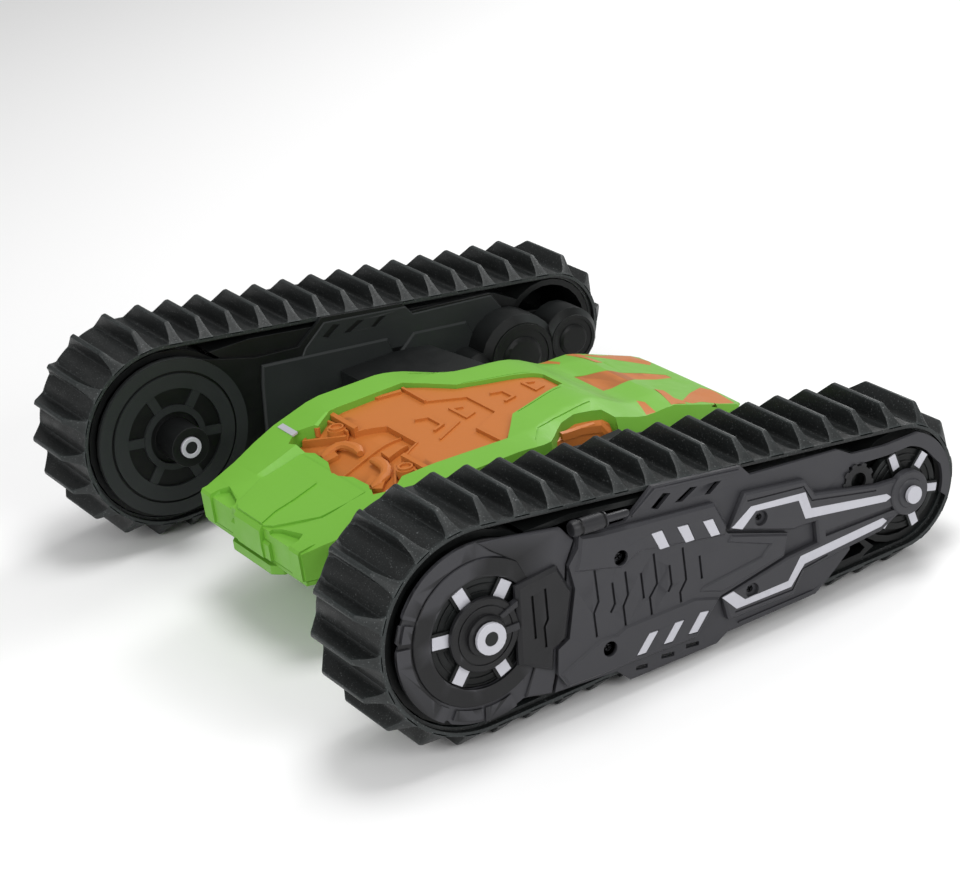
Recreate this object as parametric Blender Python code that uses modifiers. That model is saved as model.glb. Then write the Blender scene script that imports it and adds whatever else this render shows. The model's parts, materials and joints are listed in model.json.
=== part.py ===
"""Tracked tank chassis: a hull hung between two track units that swing on one cross tube.

Metres, +Z up, the nose towards -Y. Outlines are written in millimetres, in the side view as (y, z) or
in the plan view as (x, y), with y counted from the middle of the wheelbase.
"""

import math

import bmesh
import bpy
from mathutils import Matrix, Vector

MM = 0.001

# Running gear
WHEELBASE = 210.0
FRONT_HUB = (-WHEELBASE / 2, 52.0)
REAR_HUB = (WHEELBASE / 2, 36.5)
FRONT_R = 43.9                  # outer surface of the belt round the front drum
REAR_R = 28.4
BELT_THICK = 3.0
BELT_X = (109.5, 160.7)         # inner and outer edge of the left belt
TREADS = 42
TREAD_HEIGHT = 8.1
TREAD_BASE = 7.2
TREAD_TIP = 2.4
TREAD_TAPER = 9.7               # how much shorter a tread's tip is at each end
TREAD_PHASE = 0.3               # of one pitch
DRUM_GAP = 0.3
DRUM_X = (112.0, 157.0)
WHEEL_FACE_X = 162.7            # outer end of a drum's hub and spokes
AXLE_END = 170.2

# Hull and pivot
CENTRE_Y = 7.8                  # puts the middle of the whole length on the origin
PIVOT_Z = 45.0
PIVOT_R = 5.0
BORE_GAP = 0.3
SHELL = 2.0
RIM_Z = 38.0                    # where the cover meets the tray
BELLY_Z = 24.0
CHIN_Z = 32.0
CHIN_Y = -123.8

# Plates of a track unit: (inner face, outer face) along x
FRAME_X = (109.4, 160.4)
INNER_PLATE_X = (106.9, 109.1)
OUTER_PLATE_X = (161.1, 162.9)
ARMOR_X = (163.2, 166.2)
WALL = 2.4
SCREW_AT = ((-40.2, 61.0), (-50.4, 24.0), (28.5, 52.9), (20.5, 22.8))
RECESS_R = 3.3
SCREW_HEAD_R = 2.9

# Gears, module 1
DRUM_TEETH = 24
IDLER_TEETH = 36
PINION_TEETH = 10
GEAR_X = (95.0, 101.0)
IDLER_AT = (REAR_HUB[0] - (DRUM_TEETH + IDLER_TEETH) / 2, REAR_HUB[1])
PINION_AT = (IDLER_AT[0] - (IDLER_TEETH + PINION_TEETH) / 2, REAR_HUB[1])

# (y, top z, half width of the flat top, half width and z of the shoulder, half width at the rim)
HULL_STATIONS = (
    (-121.5, 52.0, 38.0, 46.0, 50.5, 46.0),
    (-95.0, 54.5, 44.0, 56.0, 55.0, 54.0),
    (-76.0, 58.5, 47.0, 59.5, 61.0, 57.5),
    (-57.0, 64.5, 48.5, 61.5, 66.0, 58.5),
    (-50.0, 66.5, 48.5, 62.0, 67.5, 58.5),
    (-20.0, 66.5, 48.5, 62.0, 67.5, 58.5),
    (-6.0, 66.5, 46.0, 60.0, 65.0, 58.0),
    (10.0, 66.0, 38.0, 51.0, 61.5, 54.0),
    (36.0, 64.3, 34.0, 46.5, 58.8, 52.0),
    (56.5, 54.8, 34.0, 44.5, 52.0, 49.5),
    (73.0, 53.6, 31.0, 44.0, 51.6, 48.5),
    (80.0, 50.4, 32.0, 44.5, 49.4, 48.0),
    (108.0, 41.0, 28.0, 42.5, 39.4, 43.5),
)
HULL_END = 111.0

GREEN = ("shell_green", (0.19, 0.48, 0.05), 0.42, 0.0)
ORANGE = ("insert_orange", (0.58, 0.16, 0.03), 0.45, 0.0)
BLACK = ("frame_plastic", (0.03, 0.03, 0.033), 0.5, 0.0)
RUBBER = ("belt_rubber", (0.02, 0.024, 0.024), 0.85, 0.0)
SILVER = ("silver_metal", (0.5, 0.5, 0.54), 0.35, 1.0)
STEEL = ("steel", (0.4, 0.4, 0.42), 0.3, 1.0)
BOARD = ("board_laminate", (0.02, 0.16, 0.06), 0.5, 0.0)
WRAP = ("battery_wrap", (0.05, 0.08, 0.3), 0.4, 0.0)
GEAR_WHITE = ("gear_acetal", (0.75, 0.74, 0.7), 0.4, 0.0)


def clear_scene():
    for obj in list(bpy.data.objects):
        bpy.data.objects.remove(obj, do_unlink=True)


def material(finish):
    name, colour, roughness, metallic = finish
    found = bpy.data.materials.get(name)
    if found:
        return found
    made = bpy.data.materials.new(name)
    made.use_nodes = True
    shader = made.node_tree.nodes["Principled BSDF"]
    shader.inputs["Base Color"].default_value = (*colour, 1.0)
    shader.inputs["Roughness"].default_value = roughness
    shader.inputs["Metallic"].default_value = metallic
    return made


def mesh_object(bm, name="shape"):
    bmesh.ops.recalc_face_normals(bm, faces=bm.faces)
    mesh = bpy.data.meshes.new(name)
    bm.to_mesh(mesh)
    bm.free()
    obj = bpy.data.objects.new(name, mesh)
    bpy.context.scene.collection.objects.link(obj)
    return obj


def evaluated(obj, name="shape"):
    """Swap an object for a plain mesh object holding its evaluated shape."""
    graph = bpy.context.evaluated_depsgraph_get()
    mesh = bpy.data.meshes.new_from_object(obj.evaluated_get(graph))
    bm = bmesh.new()
    bm.from_mesh(mesh)
    bmesh.ops.transform(bm, matrix=obj.matrix_world, verts=bm.verts)
    bmesh.ops.remove_doubles(bm, verts=bm.verts, dist=1e-6)
    bpy.data.meshes.remove(mesh)
    bpy.data.objects.remove(obj, do_unlink=True)
    return mesh_object(bm, name)


def boolean(base, tools, operation):
    for tool in tools:
        step = base.modifiers.new(operation.lower(), "BOOLEAN")
        step.operation = operation
        step.object = tool
        step.solver = "EXACT"
    bpy.context.view_layer.update()
    result = evaluated(base)
    for tool in tools:
        bpy.data.objects.remove(tool, do_unlink=True)
    return result


def cut(base, *tools):
    return boolean(base, tools, "DIFFERENCE")


def join(base, *tools):
    return boolean(base, tools, "UNION")


def common(base, tool):
    return boolean(base, (tool,), "INTERSECT")


def circle(centre, radius, count=32, start=0.0):
    step = 2 * math.pi / count
    return [
        (centre[0] + radius * math.cos(start + i * step), centre[1] + radius * math.sin(start + i * step))
        for i in range(count)
    ]


def arc(centre, radius, first, last, count):
    """Points on an arc, from one angle in degrees to another."""
    angles = [math.radians(first + (last - first) * i / (count - 1)) for i in range(count)]
    return [(centre[0] + radius * math.cos(a), centre[1] + radius * math.sin(a)) for a in angles]


def flat(outline, holes, low, high, turn):
    """A flat outline with holes, extruded from low to high along its own normal."""
    curve = bpy.data.curves.new("outline", "CURVE")
    curve.dimensions = "2D"
    curve.fill_mode = "BOTH"
    curve.extrude = (high - low) / 2 * MM
    for points in (outline, *holes):
        spline = curve.splines.new("POLY")
        spline.points.add(len(points) - 1)
        for point, (u, v) in zip(spline.points, points):
            point.co = (u * MM, v * MM, 0.0, 1.0)
        spline.use_cyclic_u = True
    obj = bpy.data.objects.new("outline", curve)
    bpy.context.scene.collection.objects.link(obj)
    obj.matrix_world = turn @ Matrix.Translation((0, 0, (low + high) / 2 * MM))
    bpy.context.view_layer.update()
    return evaluated(obj)


SIDE_VIEW = Matrix(((0, 0, 1, 0), (1, 0, 0, 0), (0, 1, 0, 0), (0, 0, 0, 1)))


def side_plate(outline, xs, side=1, holes=()):
    """A (y, z) outline extruded along x; side is 1 on the left and -1 on the right."""
    low, high = sorted(side * x for x in xs)
    return flat(outline, holes, low, high, SIDE_VIEW)


def slab(outline, zs, holes=()):
    """An (x, y) outline extruded along z."""
    return flat(outline, holes, zs[0], zs[1], Matrix.Identity(4))


def box(xs, ys, zs):
    bm = bmesh.new()
    bmesh.ops.create_cube(bm, size=1.0)
    size = [(b - a) * MM for a, b in (xs, ys, zs)]
    centre = [(a + b) / 2 * MM for a, b in (xs, ys, zs)]
    bmesh.ops.scale(bm, vec=size, verts=bm.verts)
    bmesh.ops.translate(bm, vec=centre, verts=bm.verts)
    return mesh_object(bm)


def turned(profile, centre, side=1, steps=20, closed=True):
    """A turned shape on an axis along x: the profile holds (x, radius) points."""
    bm = bmesh.new()
    points = [bm.verts.new((radius * MM, 0, side * x * MM)) for x, radius in profile]
    for first, second in zip(points, points[1:]):
        bm.edges.new((first, second))
    if closed:
        bm.edges.new((points[-1], points[0]))
    mesh = bpy.data.meshes.new("profile")
    bm.to_mesh(mesh)
    bm.free()
    obj = bpy.data.objects.new("profile", mesh)
    bpy.context.scene.collection.objects.link(obj)
    screw = obj.modifiers.new("turn", "SCREW")
    screw.steps = screw.render_steps = steps
    screw.use_merge_vertices = True
    screw.merge_threshold = 1e-5
    obj.matrix_world = Matrix.Translation((0, centre[0] * MM, centre[1] * MM)) @ SIDE_VIEW
    bpy.context.view_layer.update()
    return evaluated(obj)


def ring(xs, outer, inner, centre, side=1, steps=20):
    return turned(((xs[1], outer), (xs[0], outer), (xs[0], inner), (xs[1], inner)), centre, side, steps)


def rod(xs, radius, centre, side=1, steps=16):
    return turned(((xs[1], 0), (xs[1], radius), (xs[0], radius), (xs[0], 0)), centre, side, steps, False)


def belt_frame():
    """Unit vector between the hubs, their distance, and the tilt of the straight runs to it."""
    gap = Vector((REAR_HUB[0] - FRONT_HUB[0], REAR_HUB[1] - FRONT_HUB[1]))
    tilt = math.asin((FRONT_R - REAR_R) / gap.length)
    return gap, math.atan2(gap.y, gap.x), tilt


def belt_point(distance, inset=0.0):
    """Point on the belt's outer surface, moved inwards by inset, and the outward angle there."""
    gap, slope, tilt = belt_frame()
    run = gap.length * math.cos(tilt)
    top = slope + math.pi / 2 - tilt
    bottom = slope - math.pi / 2 + tilt
    rear = REAR_R * (top - bottom)
    distance %= belt_length()
    if distance < run:
        share, angle = distance / run, top
        hub, radius = FRONT_HUB, FRONT_R + (REAR_R - FRONT_R) * share
        foot = (hub[0] + gap.x * share, hub[1] + gap.y * share)
    elif distance < run + rear:
        angle = top - (distance - run) / REAR_R
        foot, radius = REAR_HUB, REAR_R
    elif distance < 2 * run + rear:
        share, angle = (distance - run - rear) / run, bottom
        foot = (REAR_HUB[0] - gap.x * share, REAR_HUB[1] - gap.y * share)
        radius = REAR_R + (FRONT_R - REAR_R) * share
    else:
        angle = bottom - (distance - 2 * run - rear) / FRONT_R
        foot, radius = FRONT_HUB, FRONT_R
    reach = radius - inset
    return foot[0] + reach * math.cos(angle), foot[1] + reach * math.sin(angle), angle


def belt_length():
    gap, _, tilt = belt_frame()
    arcs = REAR_R * (math.pi - 2 * tilt) + FRONT_R * (math.pi + 2 * tilt)
    return 2 * gap.length * math.cos(tilt) + arcs


def belt(side):
    """The rubber belt: a closed band whose every second strip is drawn out into a tread."""
    pitch = belt_length() / TREADS
    stations = []
    for tread in range(TREADS):
        middle = (tread + TREAD_PHASE) * pitch
        stations += [middle - TREAD_BASE / 2, middle + TREAD_BASE / 2]
    bm = bmesh.new()
    rows = []
    for distance in stations:
        outer, inner = belt_point(distance), belt_point(distance, BELT_THICK)
        corners = ((BELT_X[0], outer), (BELT_X[1], outer), (BELT_X[1], inner), (BELT_X[0], inner))
        rows.append([bm.verts.new((side * x * MM, p[0] * MM, p[1] * MM)) for x, p in corners])
    tread_faces = []
    for index, row in enumerate(rows):
        after = rows[(index + 1) % len(rows)]
        for corner in range(4):
            beside = (corner + 1) % 4
            face = bm.faces.new((row[corner], row[beside], after[beside], after[corner]))
            if corner == 0 and index % 2 == 0:
                tread_faces.append(face)
    bmesh.ops.recalc_face_normals(bm, faces=bm.faces)
    middle_x = side * sum(BELT_X) / 2 * MM
    taper = 1 - 2 * TREAD_TAPER / (BELT_X[1] - BELT_X[0])
    for face in tread_faces:
        normal = face.normal.copy()
        centre = face.calc_center_median()
        tip = bmesh.ops.extrude_discrete_faces(bm, faces=[face])["faces"][0]
        for vert in tip.verts:
            along = vert.co - centre
            along.x = 0
            vert.co -= along * (1 - TREAD_TIP / TREAD_BASE)
            vert.co.x = middle_x + (vert.co.x - middle_x) * taper
            vert.co += normal * TREAD_HEIGHT * MM
    return mesh_object(bm)


def gear(teeth, centre, side, bore, meshing, tooth_there):
    """A spur gear of module 1; meshing is the angle where it meets its neighbour."""
    pitch = 2 * math.pi / teeth
    root, tip = teeth / 2 - 1.2, teeth / 2 + 0.85
    start = math.radians(meshing) + (0 if tooth_there else pitch / 2)
    points = []
    for tooth in range(teeth):
        middle = start + tooth * pitch
        for radius, share in ((root, -0.33), (tip, -0.1), (tip, 0.1), (root, 0.33)):
            angle = middle + share * pitch
            points.append((centre[0] + radius * math.cos(angle), centre[1] + radius * math.sin(angle)))
    holes = (circle(centre, bore, 16),) if bore else ()
    return side_plate(points, GEAR_X, side, holes)


# Hull


def hull_grid(inset=0.0, capped=True):
    """Half of the hull cover as an open surface, from the centre line to the rim."""
    rows = []
    for y, top, flat_half, shoulder, shoulder_z, rim in HULL_STATIONS:
        rows.append(
            [
                (0.0, y, top - inset),
                (flat_half - inset / 2, y, top - inset),
                (shoulder - inset * 1.1, y, shoulder_z - inset),
                (rim - inset * 1.1, y, RIM_Z),
            ]
        )
    if capped:
        first, last = rows[0], rows[-1]
        rows.insert(0, [(x, y, RIM_Z) for x, y, _ in first[:2]] + [first[3], first[3]])
        end = [(x * 0.9, HULL_END, RIM_Z) for x, _, _ in last[:2]]
        corner = (last[3][0] * 0.9, HULL_END, RIM_Z)
        rows.append(end + [corner, corner])
    bm = bmesh.new()
    grid = [[bm.verts.new([v * MM for v in point]) for point in row] for row in rows]
    for row, after in zip(grid, grid[1:]):
        for i in range(len(row) - 1):
            bm.faces.new((row[i], row[i + 1], after[i + 1], after[i]))
    bmesh.ops.remove_doubles(bm, verts=bm.verts, dist=1e-6)
    bmesh.ops.triangulate(bm, faces=bm.faces, quad_method="FIXED")
    return bm


def hull_skin(inset=0.0, capped=True):
    bm = hull_grid(inset, capped)
    bmesh.ops.recalc_face_normals(bm, faces=bm.faces)
    if sum((f.normal.z for f in bm.faces)) < 0:
        bmesh.ops.reverse_faces(bm, faces=bm.faces)
    mesh = bpy.data.meshes.new("skin")
    bm.to_mesh(mesh)
    bm.free()
    obj = bpy.data.objects.new("skin", mesh)
    bpy.context.scene.collection.objects.link(obj)
    mirror = obj.modifiers.new("halves", "MIRROR")
    mirror.merge_threshold = 1e-5
    wall = obj.modifiers.new("wall", "SOLIDIFY")
    wall.thickness = SHELL * MM
    wall.offset = -1
    wall.use_even_offset = True
    bpy.context.view_layer.update()
    return evaluated(obj)


def both_halves(half):
    """Close a half outline given from its front end to its rear end."""
    return list(half) + [(-x, y) for x, y in reversed(half) if x > 0]


def grown(outline, by):
    """Push an outline's points away from its middle by a fixed amount in x and in y."""
    middle = sum(y for _, y in outline) / len(outline)
    return [(x + math.copysign(by, x) if x else x, y + math.copysign(by, y - middle)) for x, y in outline]


HOOD = both_halves(
    (
        (0.0, -79.5), (11.0, -75.0), (24.0, -74.5), (38.0, -80.0), (44.0, -73.0), (38.0, -64.0),
        (43.0, -54.0), (45.0, -15.0), (36.0, -8.0), (24.0, 1.0), (10.0, 36.0), (6.0, 38.5), (0.0, 38.5),
    )
)
TAIL = both_halves(((12.2, 57.5), (9.0, 73.0), (6.0, 79.0), (5.5, 90.0), (2.5, 100.0)))
VENT = ((40.0, 60.0), (12.0, 38.0), (52.0, 63.5))


def side_bore(radius, centre):
    return rod((-140.0, 140.0), radius, centre)


def hull_shell():
    skin = hull_skin()
    openings = [
        slab(HOOD, (45, 90)), slab(TAIL, (39, 90)), side_bore(PIVOT_R + BORE_GAP, (0, PIVOT_Z)),
        box((-90, 90), (-140, 140), (0, RIM_Z)),
    ]
    for side in (1, -1):
        xs = sorted(side * x for x in VENT[0])
        openings.append(box(xs, VENT[1], VENT[2]))
    return cut(skin, *openings)


STEP_SHARE = 0.96


def insert(outline, low):
    """A coloured insert: a patch of skin under the cover, wider than its opening, with a step up into it."""
    flange = common(hull_skin(SHELL + 0.6, False), slab(grown(outline, 3.0), (low, 90)))
    middle = sum(y for _, y in outline) / len(outline)
    within = [(x * STEP_SHARE, middle + (y - middle) * STEP_SHARE) for x, y in outline]
    step = common(hull_skin(SHELL + 0.2, False), slab(within, (low, 90)))
    return join(flange, step)


def vent_panel(side):
    xs = sorted(side * x for x in (VENT[0][0] - 3, VENT[0][1] + 3))
    zone = box(xs, (VENT[1][0] - 3, VENT[1][1] + 3), (VENT[2][0] - 3, VENT[2][1] + 1.5))
    return common(hull_skin(SHELL + 0.6, False), zone)


def rim_outline():
    half = [(station[5], station[0]) for station in HULL_STATIONS]
    return both_halves(half + [(HULL_STATIONS[-1][5] * 0.9, HULL_END)])


TRAY = both_halves(
    ((40.0, -108.0), (50.0, -60.0), (50.0, 40.0), (44.0, 98.0), (38.0, 106.0))
)
TRAY_INSIDE = both_halves(
    ((37.5, -105.0), (47.0, -60.0), (47.0, 40.0), (41.0, 96.0), (36.0, 103.0))
)
DOOR = ((-26.0, 26.0), (-51.0, 17.0))
SWITCH_SLOT = ((-3.4, 3.4), (60.0, 72.0))


def hull_tub():
    rim_top = RIM_Z - DRUM_GAP
    flange = slab(rim_outline(), (rim_top - SHELL, rim_top))
    chin = slab(both_halves(((17.5, CHIN_Y), (22.0, -120.0), (24.0, -104.0))), (CHIN_Z, rim_top - 1.4))
    tray = join(slab(TRAY, (BELLY_Z, rim_top - 0.7)), flange, chin)
    pocket = slab(TRAY_INSIDE, (BELLY_Z + WALL, RIM_Z + 5))
    door = box(*DOOR, (BELLY_Z - 5, BELLY_Z + 5))
    slot = box(*SWITCH_SLOT, (BELLY_Z - 5, BELLY_Z + 5))
    return cut(tray, pocket, door, slot)


def battery_cover():
    xs, ys = [(low + 0.4, high - 0.4) for low, high in DOOR]
    return box(xs, ys, (BELLY_Z, BELLY_Z + 2.2))


def power_switch():
    plate = box((-5.5, 5.5), (58.0, 69.2), (BELLY_Z + WALL + 0.3, BELLY_Z + WALL + 1.7))
    knob = box((-2.9, 2.9), (60.4, 66.8), (BELLY_Z - 1.2, BELLY_Z + WALL + 1.0))
    return join(plate, knob)


def bridge(side):
    """The housing round the pivot tube between the hull's flank and the track unit."""
    plan = ((63.5, -16.0), (61.5, -6.0), (55.5, 10.0), (54.0, 36.0), (98.0, 30.0), (104.5, 14.0), (104.5, -16.0))
    body = slab([(side * x, y) for x, y in plan], (34.0, 56.0))
    return cut(body, side_bore(PIVOT_R + BORE_GAP, (0, PIVOT_Z)))


# Track units


FRONT_BORE = 5.3
REAR_BORE = 2.8
FRAME_CLEAR = 1.3


def frame_outline(wall=0.0):
    """The space between the drums, inside the belt."""
    front = FRONT_R - BELT_THICK + FRAME_CLEAR + wall
    rear = REAR_R - BELT_THICK + FRAME_CLEAR + wall
    run = belt_frame()[0].length
    inset = BELT_THICK + FRAME_CLEAR + wall
    floor = REAR_HUB[1] - REAR_R + inset
    top = [belt_point(run * share, inset)[:2] for share in (0.2, 0.84)]
    trim = 3.5 * wall           # degrees that the arcs give up so that the walls stay whole
    return (
        arc(FRONT_HUB, front, -62 + trim, 52 - trim, 12) + top + arc(REAR_HUB, rear, 128 + trim, 232 - trim, 8)
        + [(REAR_HUB[0] - 24, floor), (FRONT_HUB[0] + 24, floor)]
    )


def screw_post(at, side):
    return side_plate(circle(at, 3.4, 8), (FRAME_X[0] + 1, FRAME_X[1]), side)


def track_frame(side):
    body = side_plate(frame_outline(), FRAME_X, side)
    pocket = side_plate(frame_outline(WALL), (FRAME_X[0] + WALL, FRAME_X[1] + 5), side)
    body = join(cut(body, pocket), *(screw_post(at, side) for at in SCREW_AT))
    bores = [side_plate(circle(at, 1.5, 8), (FRAME_X[1] - 12, FRAME_X[1] + 5), side) for at in SCREW_AT]
    tube = side_plate(circle((0, PIVOT_Z), PIVOT_R + BORE_GAP, 20), (FRAME_X[0] - 5, FRAME_X[0] + 5), side)
    shaft = side_plate(circle(PINION_AT, 1.6, 12), (FRAME_X[0] - 5, FRAME_X[0] + 5), side)
    return cut(body, *bores, tube, shaft)


SILL = [(-46.7, 10.9), (-40.9, 4.7), (2.4, 4.0), (8.2, 7.0), (54.3, 6.8), (61.3, 10.9), (74.0, 20.0)]
CREST = [(77.4, 58.5), (72.7, 66.8), (27.6, 71.8), (23.4, 77.2), (-19.9, 84.0), (-34.3, 73.7)]
COVER_R = 38.3


def outer_plate(side):
    """The outer wall of the track unit, with a thin arm at the top that ends in a guard behind the drum."""
    ends = [(-57.0, 75.8), (-63.0, 66.0), (-70.0, 30.0), (-76.5, 13.5)]
    guard = arc(REAR_HUB, 19.4, 76, 30, 5) + arc(REAR_HUB, 21.2, 14, -22, 4) + arc(REAR_HUB, 25.4, -26, 66, 10)
    arm = [(77.4, 57.2), (98.0, 55.3)] + guard + [(97.0, 60.0), (79.5, 62.4)]
    holes = [circle(at, 1.6, 8) for at in SCREW_AT]
    return side_plate(SILL + [(77.4, 36.0)] + arm + CREST[1:] + ends, OUTER_PLATE_X, side, holes)


def inner_plate(side):
    """The same plate on the inner side, reaching out to both hubs, with a boss for the front axle."""
    front = arc(FRONT_HUB, COVER_R, 58, 302, 26)
    rear = arc(REAR_HUB, 14.0, -115, 115, 12)
    outline = front + [(-78.0, 14.0)] + SILL + rear + [(77.4, 54.0)] + CREST + [(-57.0, 75.8), (-80.0, 82.5)]
    holes = (
        circle(FRONT_HUB, FRONT_BORE, 20), circle(REAR_HUB, REAR_BORE, 12), circle(IDLER_AT, 2.1, 12),
        circle(PINION_AT, 1.6, 12), circle((0, PIVOT_Z), PIVOT_R + BORE_GAP, 20),
    )
    plate = side_plate(outline, INNER_PLATE_X, side, holes)
    return join(plate, ring((89.5, INNER_PLATE_X[1] - 1), 9.5, FRONT_BORE, FRONT_HUB, side, 20))


def front_cover(side):
    """The round cover over the front drum, with four notches in its rim and a square shoulder behind."""
    rim = arc(FRONT_HUB, COVER_R, 68, 292, 30)
    shoulder = [(-78.0, 13.8), (-70.6, 33.0), (-63.9, 66.0), (-58.8, 75.0), (-64.0, 82.1)]
    plate = side_plate(rim + shoulder, OUTER_PLATE_X, side, (circle(FRONT_HUB, 23.2, 28),))
    notches = [side_plate(circle(arc(FRONT_HUB, 39.5, angle, angle + 1, 2)[0], 3.2, 4, 0.5), (155, 170), side)
               for angle in (78, 152, 168, 236)]
    return cut(plate, *notches)


def hub_arm(side):
    panel = side_plate(
        ((-92.0, 33.0), (-88.8, 66.6), (-69.2, 68.3), (-64.0, 55.5), (-69.5, 36.2), (-75.3, 33.5), (-77.0, 24.5)),
        ARMOR_X, side)
    disc = rod((ARMOR_X[0] + 0.6, ARMOR_X[1] - 0.4), 15.5, FRONT_HUB, side, 24)
    boss = rod((ARMOR_X[0] + 0.6, 168.1), 8.0, FRONT_HUB, side, 16)
    bore = side_plate(circle(FRONT_HUB, FRONT_BORE, 20), (160, 175), side)
    return cut(join(panel, disc, boss), bore)


def recess(at, side, depth=ARMOR_X[0] + 1.2):
    return side_plate(circle(at, RECESS_R, 12), (depth, ARMOR_X[1] + 5), side)


def shank_hole(at, side):
    return side_plate(circle(at, 1.6, 8), (ARMOR_X[0] - 5, ARMOR_X[1] + 5), side)


def armor_plate(side):
    plate = side_plate(
        (
            (-58.5, 77.0), (-48.4, 74.7), (8.6, 67.4), (12.1, 51.8), (42.7, 41.0), (39.2, 31.2), (5.5, 25.6),
            (-8.8, 12.0), (-57.0, 14.0), (-72.0, 14.5), (-75.8, 22.0), (-74.2, 32.6), (-68.4, 35.2),
            (-62.8, 55.5), (-64.5, 66.0),
        ),
        ARMOR_X, side)
    return cut(plate, *(tool(at, side) for at in SCREW_AT[:2] for tool in (recess, shank_hole)))


def rear_fork(side):
    """Two arms that close round the armor plate's tail and meet at the rear axle."""
    outline = (
        (13.0, 53.2), (22.2, 66.3), (52.6, 61.3), (56.9, 53.5), (89.0, 45.5), (99.3, 44.5), (99.3, 28.5),
        (89.0, 24.0), (48.0, 21.5), (41.4, 12.7), (7.7, 13.9), (6.0, 24.8), (40.2, 30.4), (56.0, 31.0),
        (56.0, 41.0), (43.6, 41.8),
    )
    arms = side_plate(outline, ARMOR_X, side)
    boss = rod((ARMOR_X[0] + 0.6, 168.1), 9.0, REAR_HUB, side, 20)
    bore = side_plate(circle(REAR_HUB, REAR_BORE, 16), (160, 175), side)
    tools = [tool(at, side) for at in SCREW_AT[2:] for tool in (recess, shank_hole)]
    return cut(join(arms, boss), bore, *tools)


def gearbox_cover(side):
    """Two overlapping domes and a small one, hollow towards the inner plate."""
    domes = ((REAR_HUB, 15.6), (IDLER_AT, 21.6), (PINION_AT, 8.8))
    wall = 1.8
    back = INNER_PLATE_X[0] - 0.3
    outer = [turned(((back, 0), (back, r), (91.5, r), (88.5, r - 3.5), (88.5, 0)), at, side, 20, False)
             for at, r in domes]
    inner = [rod((GEAR_X[0] - 3.5, 115.0), r - wall, at, side, 20) for at, r in domes]
    return cut(join(*outer), join(*inner))


def spokes(side, hub, inner, outer, width, xs, first):
    """Six blocks standing on a wheel's face."""
    made = []
    for index in range(6):
        angle = math.radians(first + 60 * index)
        along, across = Vector((math.cos(angle), math.sin(angle))), Vector((-math.sin(angle), math.cos(angle)))
        corners = [Vector(hub) + along * r + across * w
                   for r, w in ((inner, -width / 2), (outer, -width / 2), (outer, width / 2), (inner, width / 2))]
        made.append(side_plate([tuple(c) for c in corners], xs, side))
    return made


def drum(side, hub, radius, bore, hub_radius, spoke_reach, spoke_width, first):
    """A spoked wheel: a rim open to the inner side, a web near the outer face, and a hub."""
    low, high = DRUM_X
    profile = (
        (high, radius), (low, radius), (low, radius - 3), (high - 5, radius - 3), (high - 5, hub_radius),
        (low, hub_radius), (low, bore), (WHEEL_FACE_X, bore), (WHEEL_FACE_X, hub_radius), (high - 2, hub_radius),
        (high - 2, radius - 3), (high, radius - 3),
    )
    wheel = turned(profile, hub, side, 24)
    return join(wheel, *spokes(side, hub, *spoke_reach, spoke_width, (high - 4, WHEEL_FACE_X - 0.2), first))


def front_drum(side):
    return drum(side, FRONT_HUB, FRONT_R - BELT_THICK - DRUM_GAP, FRONT_BORE, 10.0, (9.0, 22.4), 8.0, 51)


def rear_drum(side):
    return drum(side, REAR_HUB, REAR_R - BELT_THICK - DRUM_GAP, REAR_BORE, 7.0, (6.5, 18.2), 5.5, 45)


def front_axle(side):
    """A headed sleeve."""
    return turned(((AXLE_END, 6.7), (168.4, 6.7), (168.4, 5.0), (88.5, 5.0), (88.5, 3.0), (AXLE_END, 3.0)),
                  FRONT_HUB, side)


def rear_axle(side):
    """A headed pin that the drum and its gear sit on."""
    profile = ((AXLE_END, 0), (AXLE_END, 3.9), (168.4, 3.9), (168.4, 2.5), (93.0, 2.5), (93.0, 0))
    return turned(profile, REAR_HUB, side, 16, False)


def idler_gear(side):
    wheel = gear(IDLER_TEETH, IDLER_AT, side, 0, 0, True)
    pin = rod((92.0, 108.6), 1.8, IDLER_AT, side, 12)
    return join(wheel, pin)


def pinion(side):
    wheel = gear(PINION_TEETH, PINION_AT, side, 0, 0, False)
    shaft = rod((93.0, 112.4), 1.2, PINION_AT, side, 12)
    return join(wheel, shaft)


def motor(side):
    """Motor can with its nose ring, bored for the shaft that the pinion carries."""
    profile = ((140.0, 0), (140.0, 10.0), (114.0, 10.0), (114.0, 3.5), (112.4, 3.5), (112.4, 1.6),
               (118.0, 1.6), (118.0, 0))
    return turned(profile, PINION_AT, side, 20, False)


def piston(side):
    """A fat cylinder and a thin rod on one line, from the front cover to the outer plate's crest."""
    line = ((-62.0, 81.8), (-45.5, 80.4), (-34.8, 79.3))
    made = []
    for (start, end), radius in zip(zip(line, line[1:]), (3.4, 1.7)):
        start, end = Vector((0, *start)), Vector((0, *end))
        bm = bmesh.new()
        length = (end - start).length + 0.5
        bmesh.ops.create_cone(bm, cap_ends=True, segments=16, radius1=radius * MM, radius2=radius * MM,
                              depth=length * MM)
        lean = (end - start).to_track_quat("Z", "X").to_matrix().to_4x4()
        middle = Vector((side * 166.6, *((start + end) / 2).yz)) * MM
        bmesh.ops.transform(bm, matrix=Matrix.Translation(middle) @ lean, verts=bm.verts)
        made.append(mesh_object(bm))
    return join(*made)


def screw(at, side):
    low = ARMOR_X[0] + 1.5
    profile = ((low + 1.3, 0), (low + 1.3, SCREW_HEAD_R), (low, SCREW_HEAD_R), (low, 1.2),
               (low - 12.0, 1.2), (low - 12.0, 0))
    return turned(profile, at, side, 8, False)


# Assembly


def empty(name, at, parent, collection):
    obj = bpy.data.objects.new(name, None)
    obj.empty_display_size = 0.02
    obj.location = Vector(at) * MM
    obj.parent = parent
    collection.objects.link(obj)
    return obj


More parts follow.
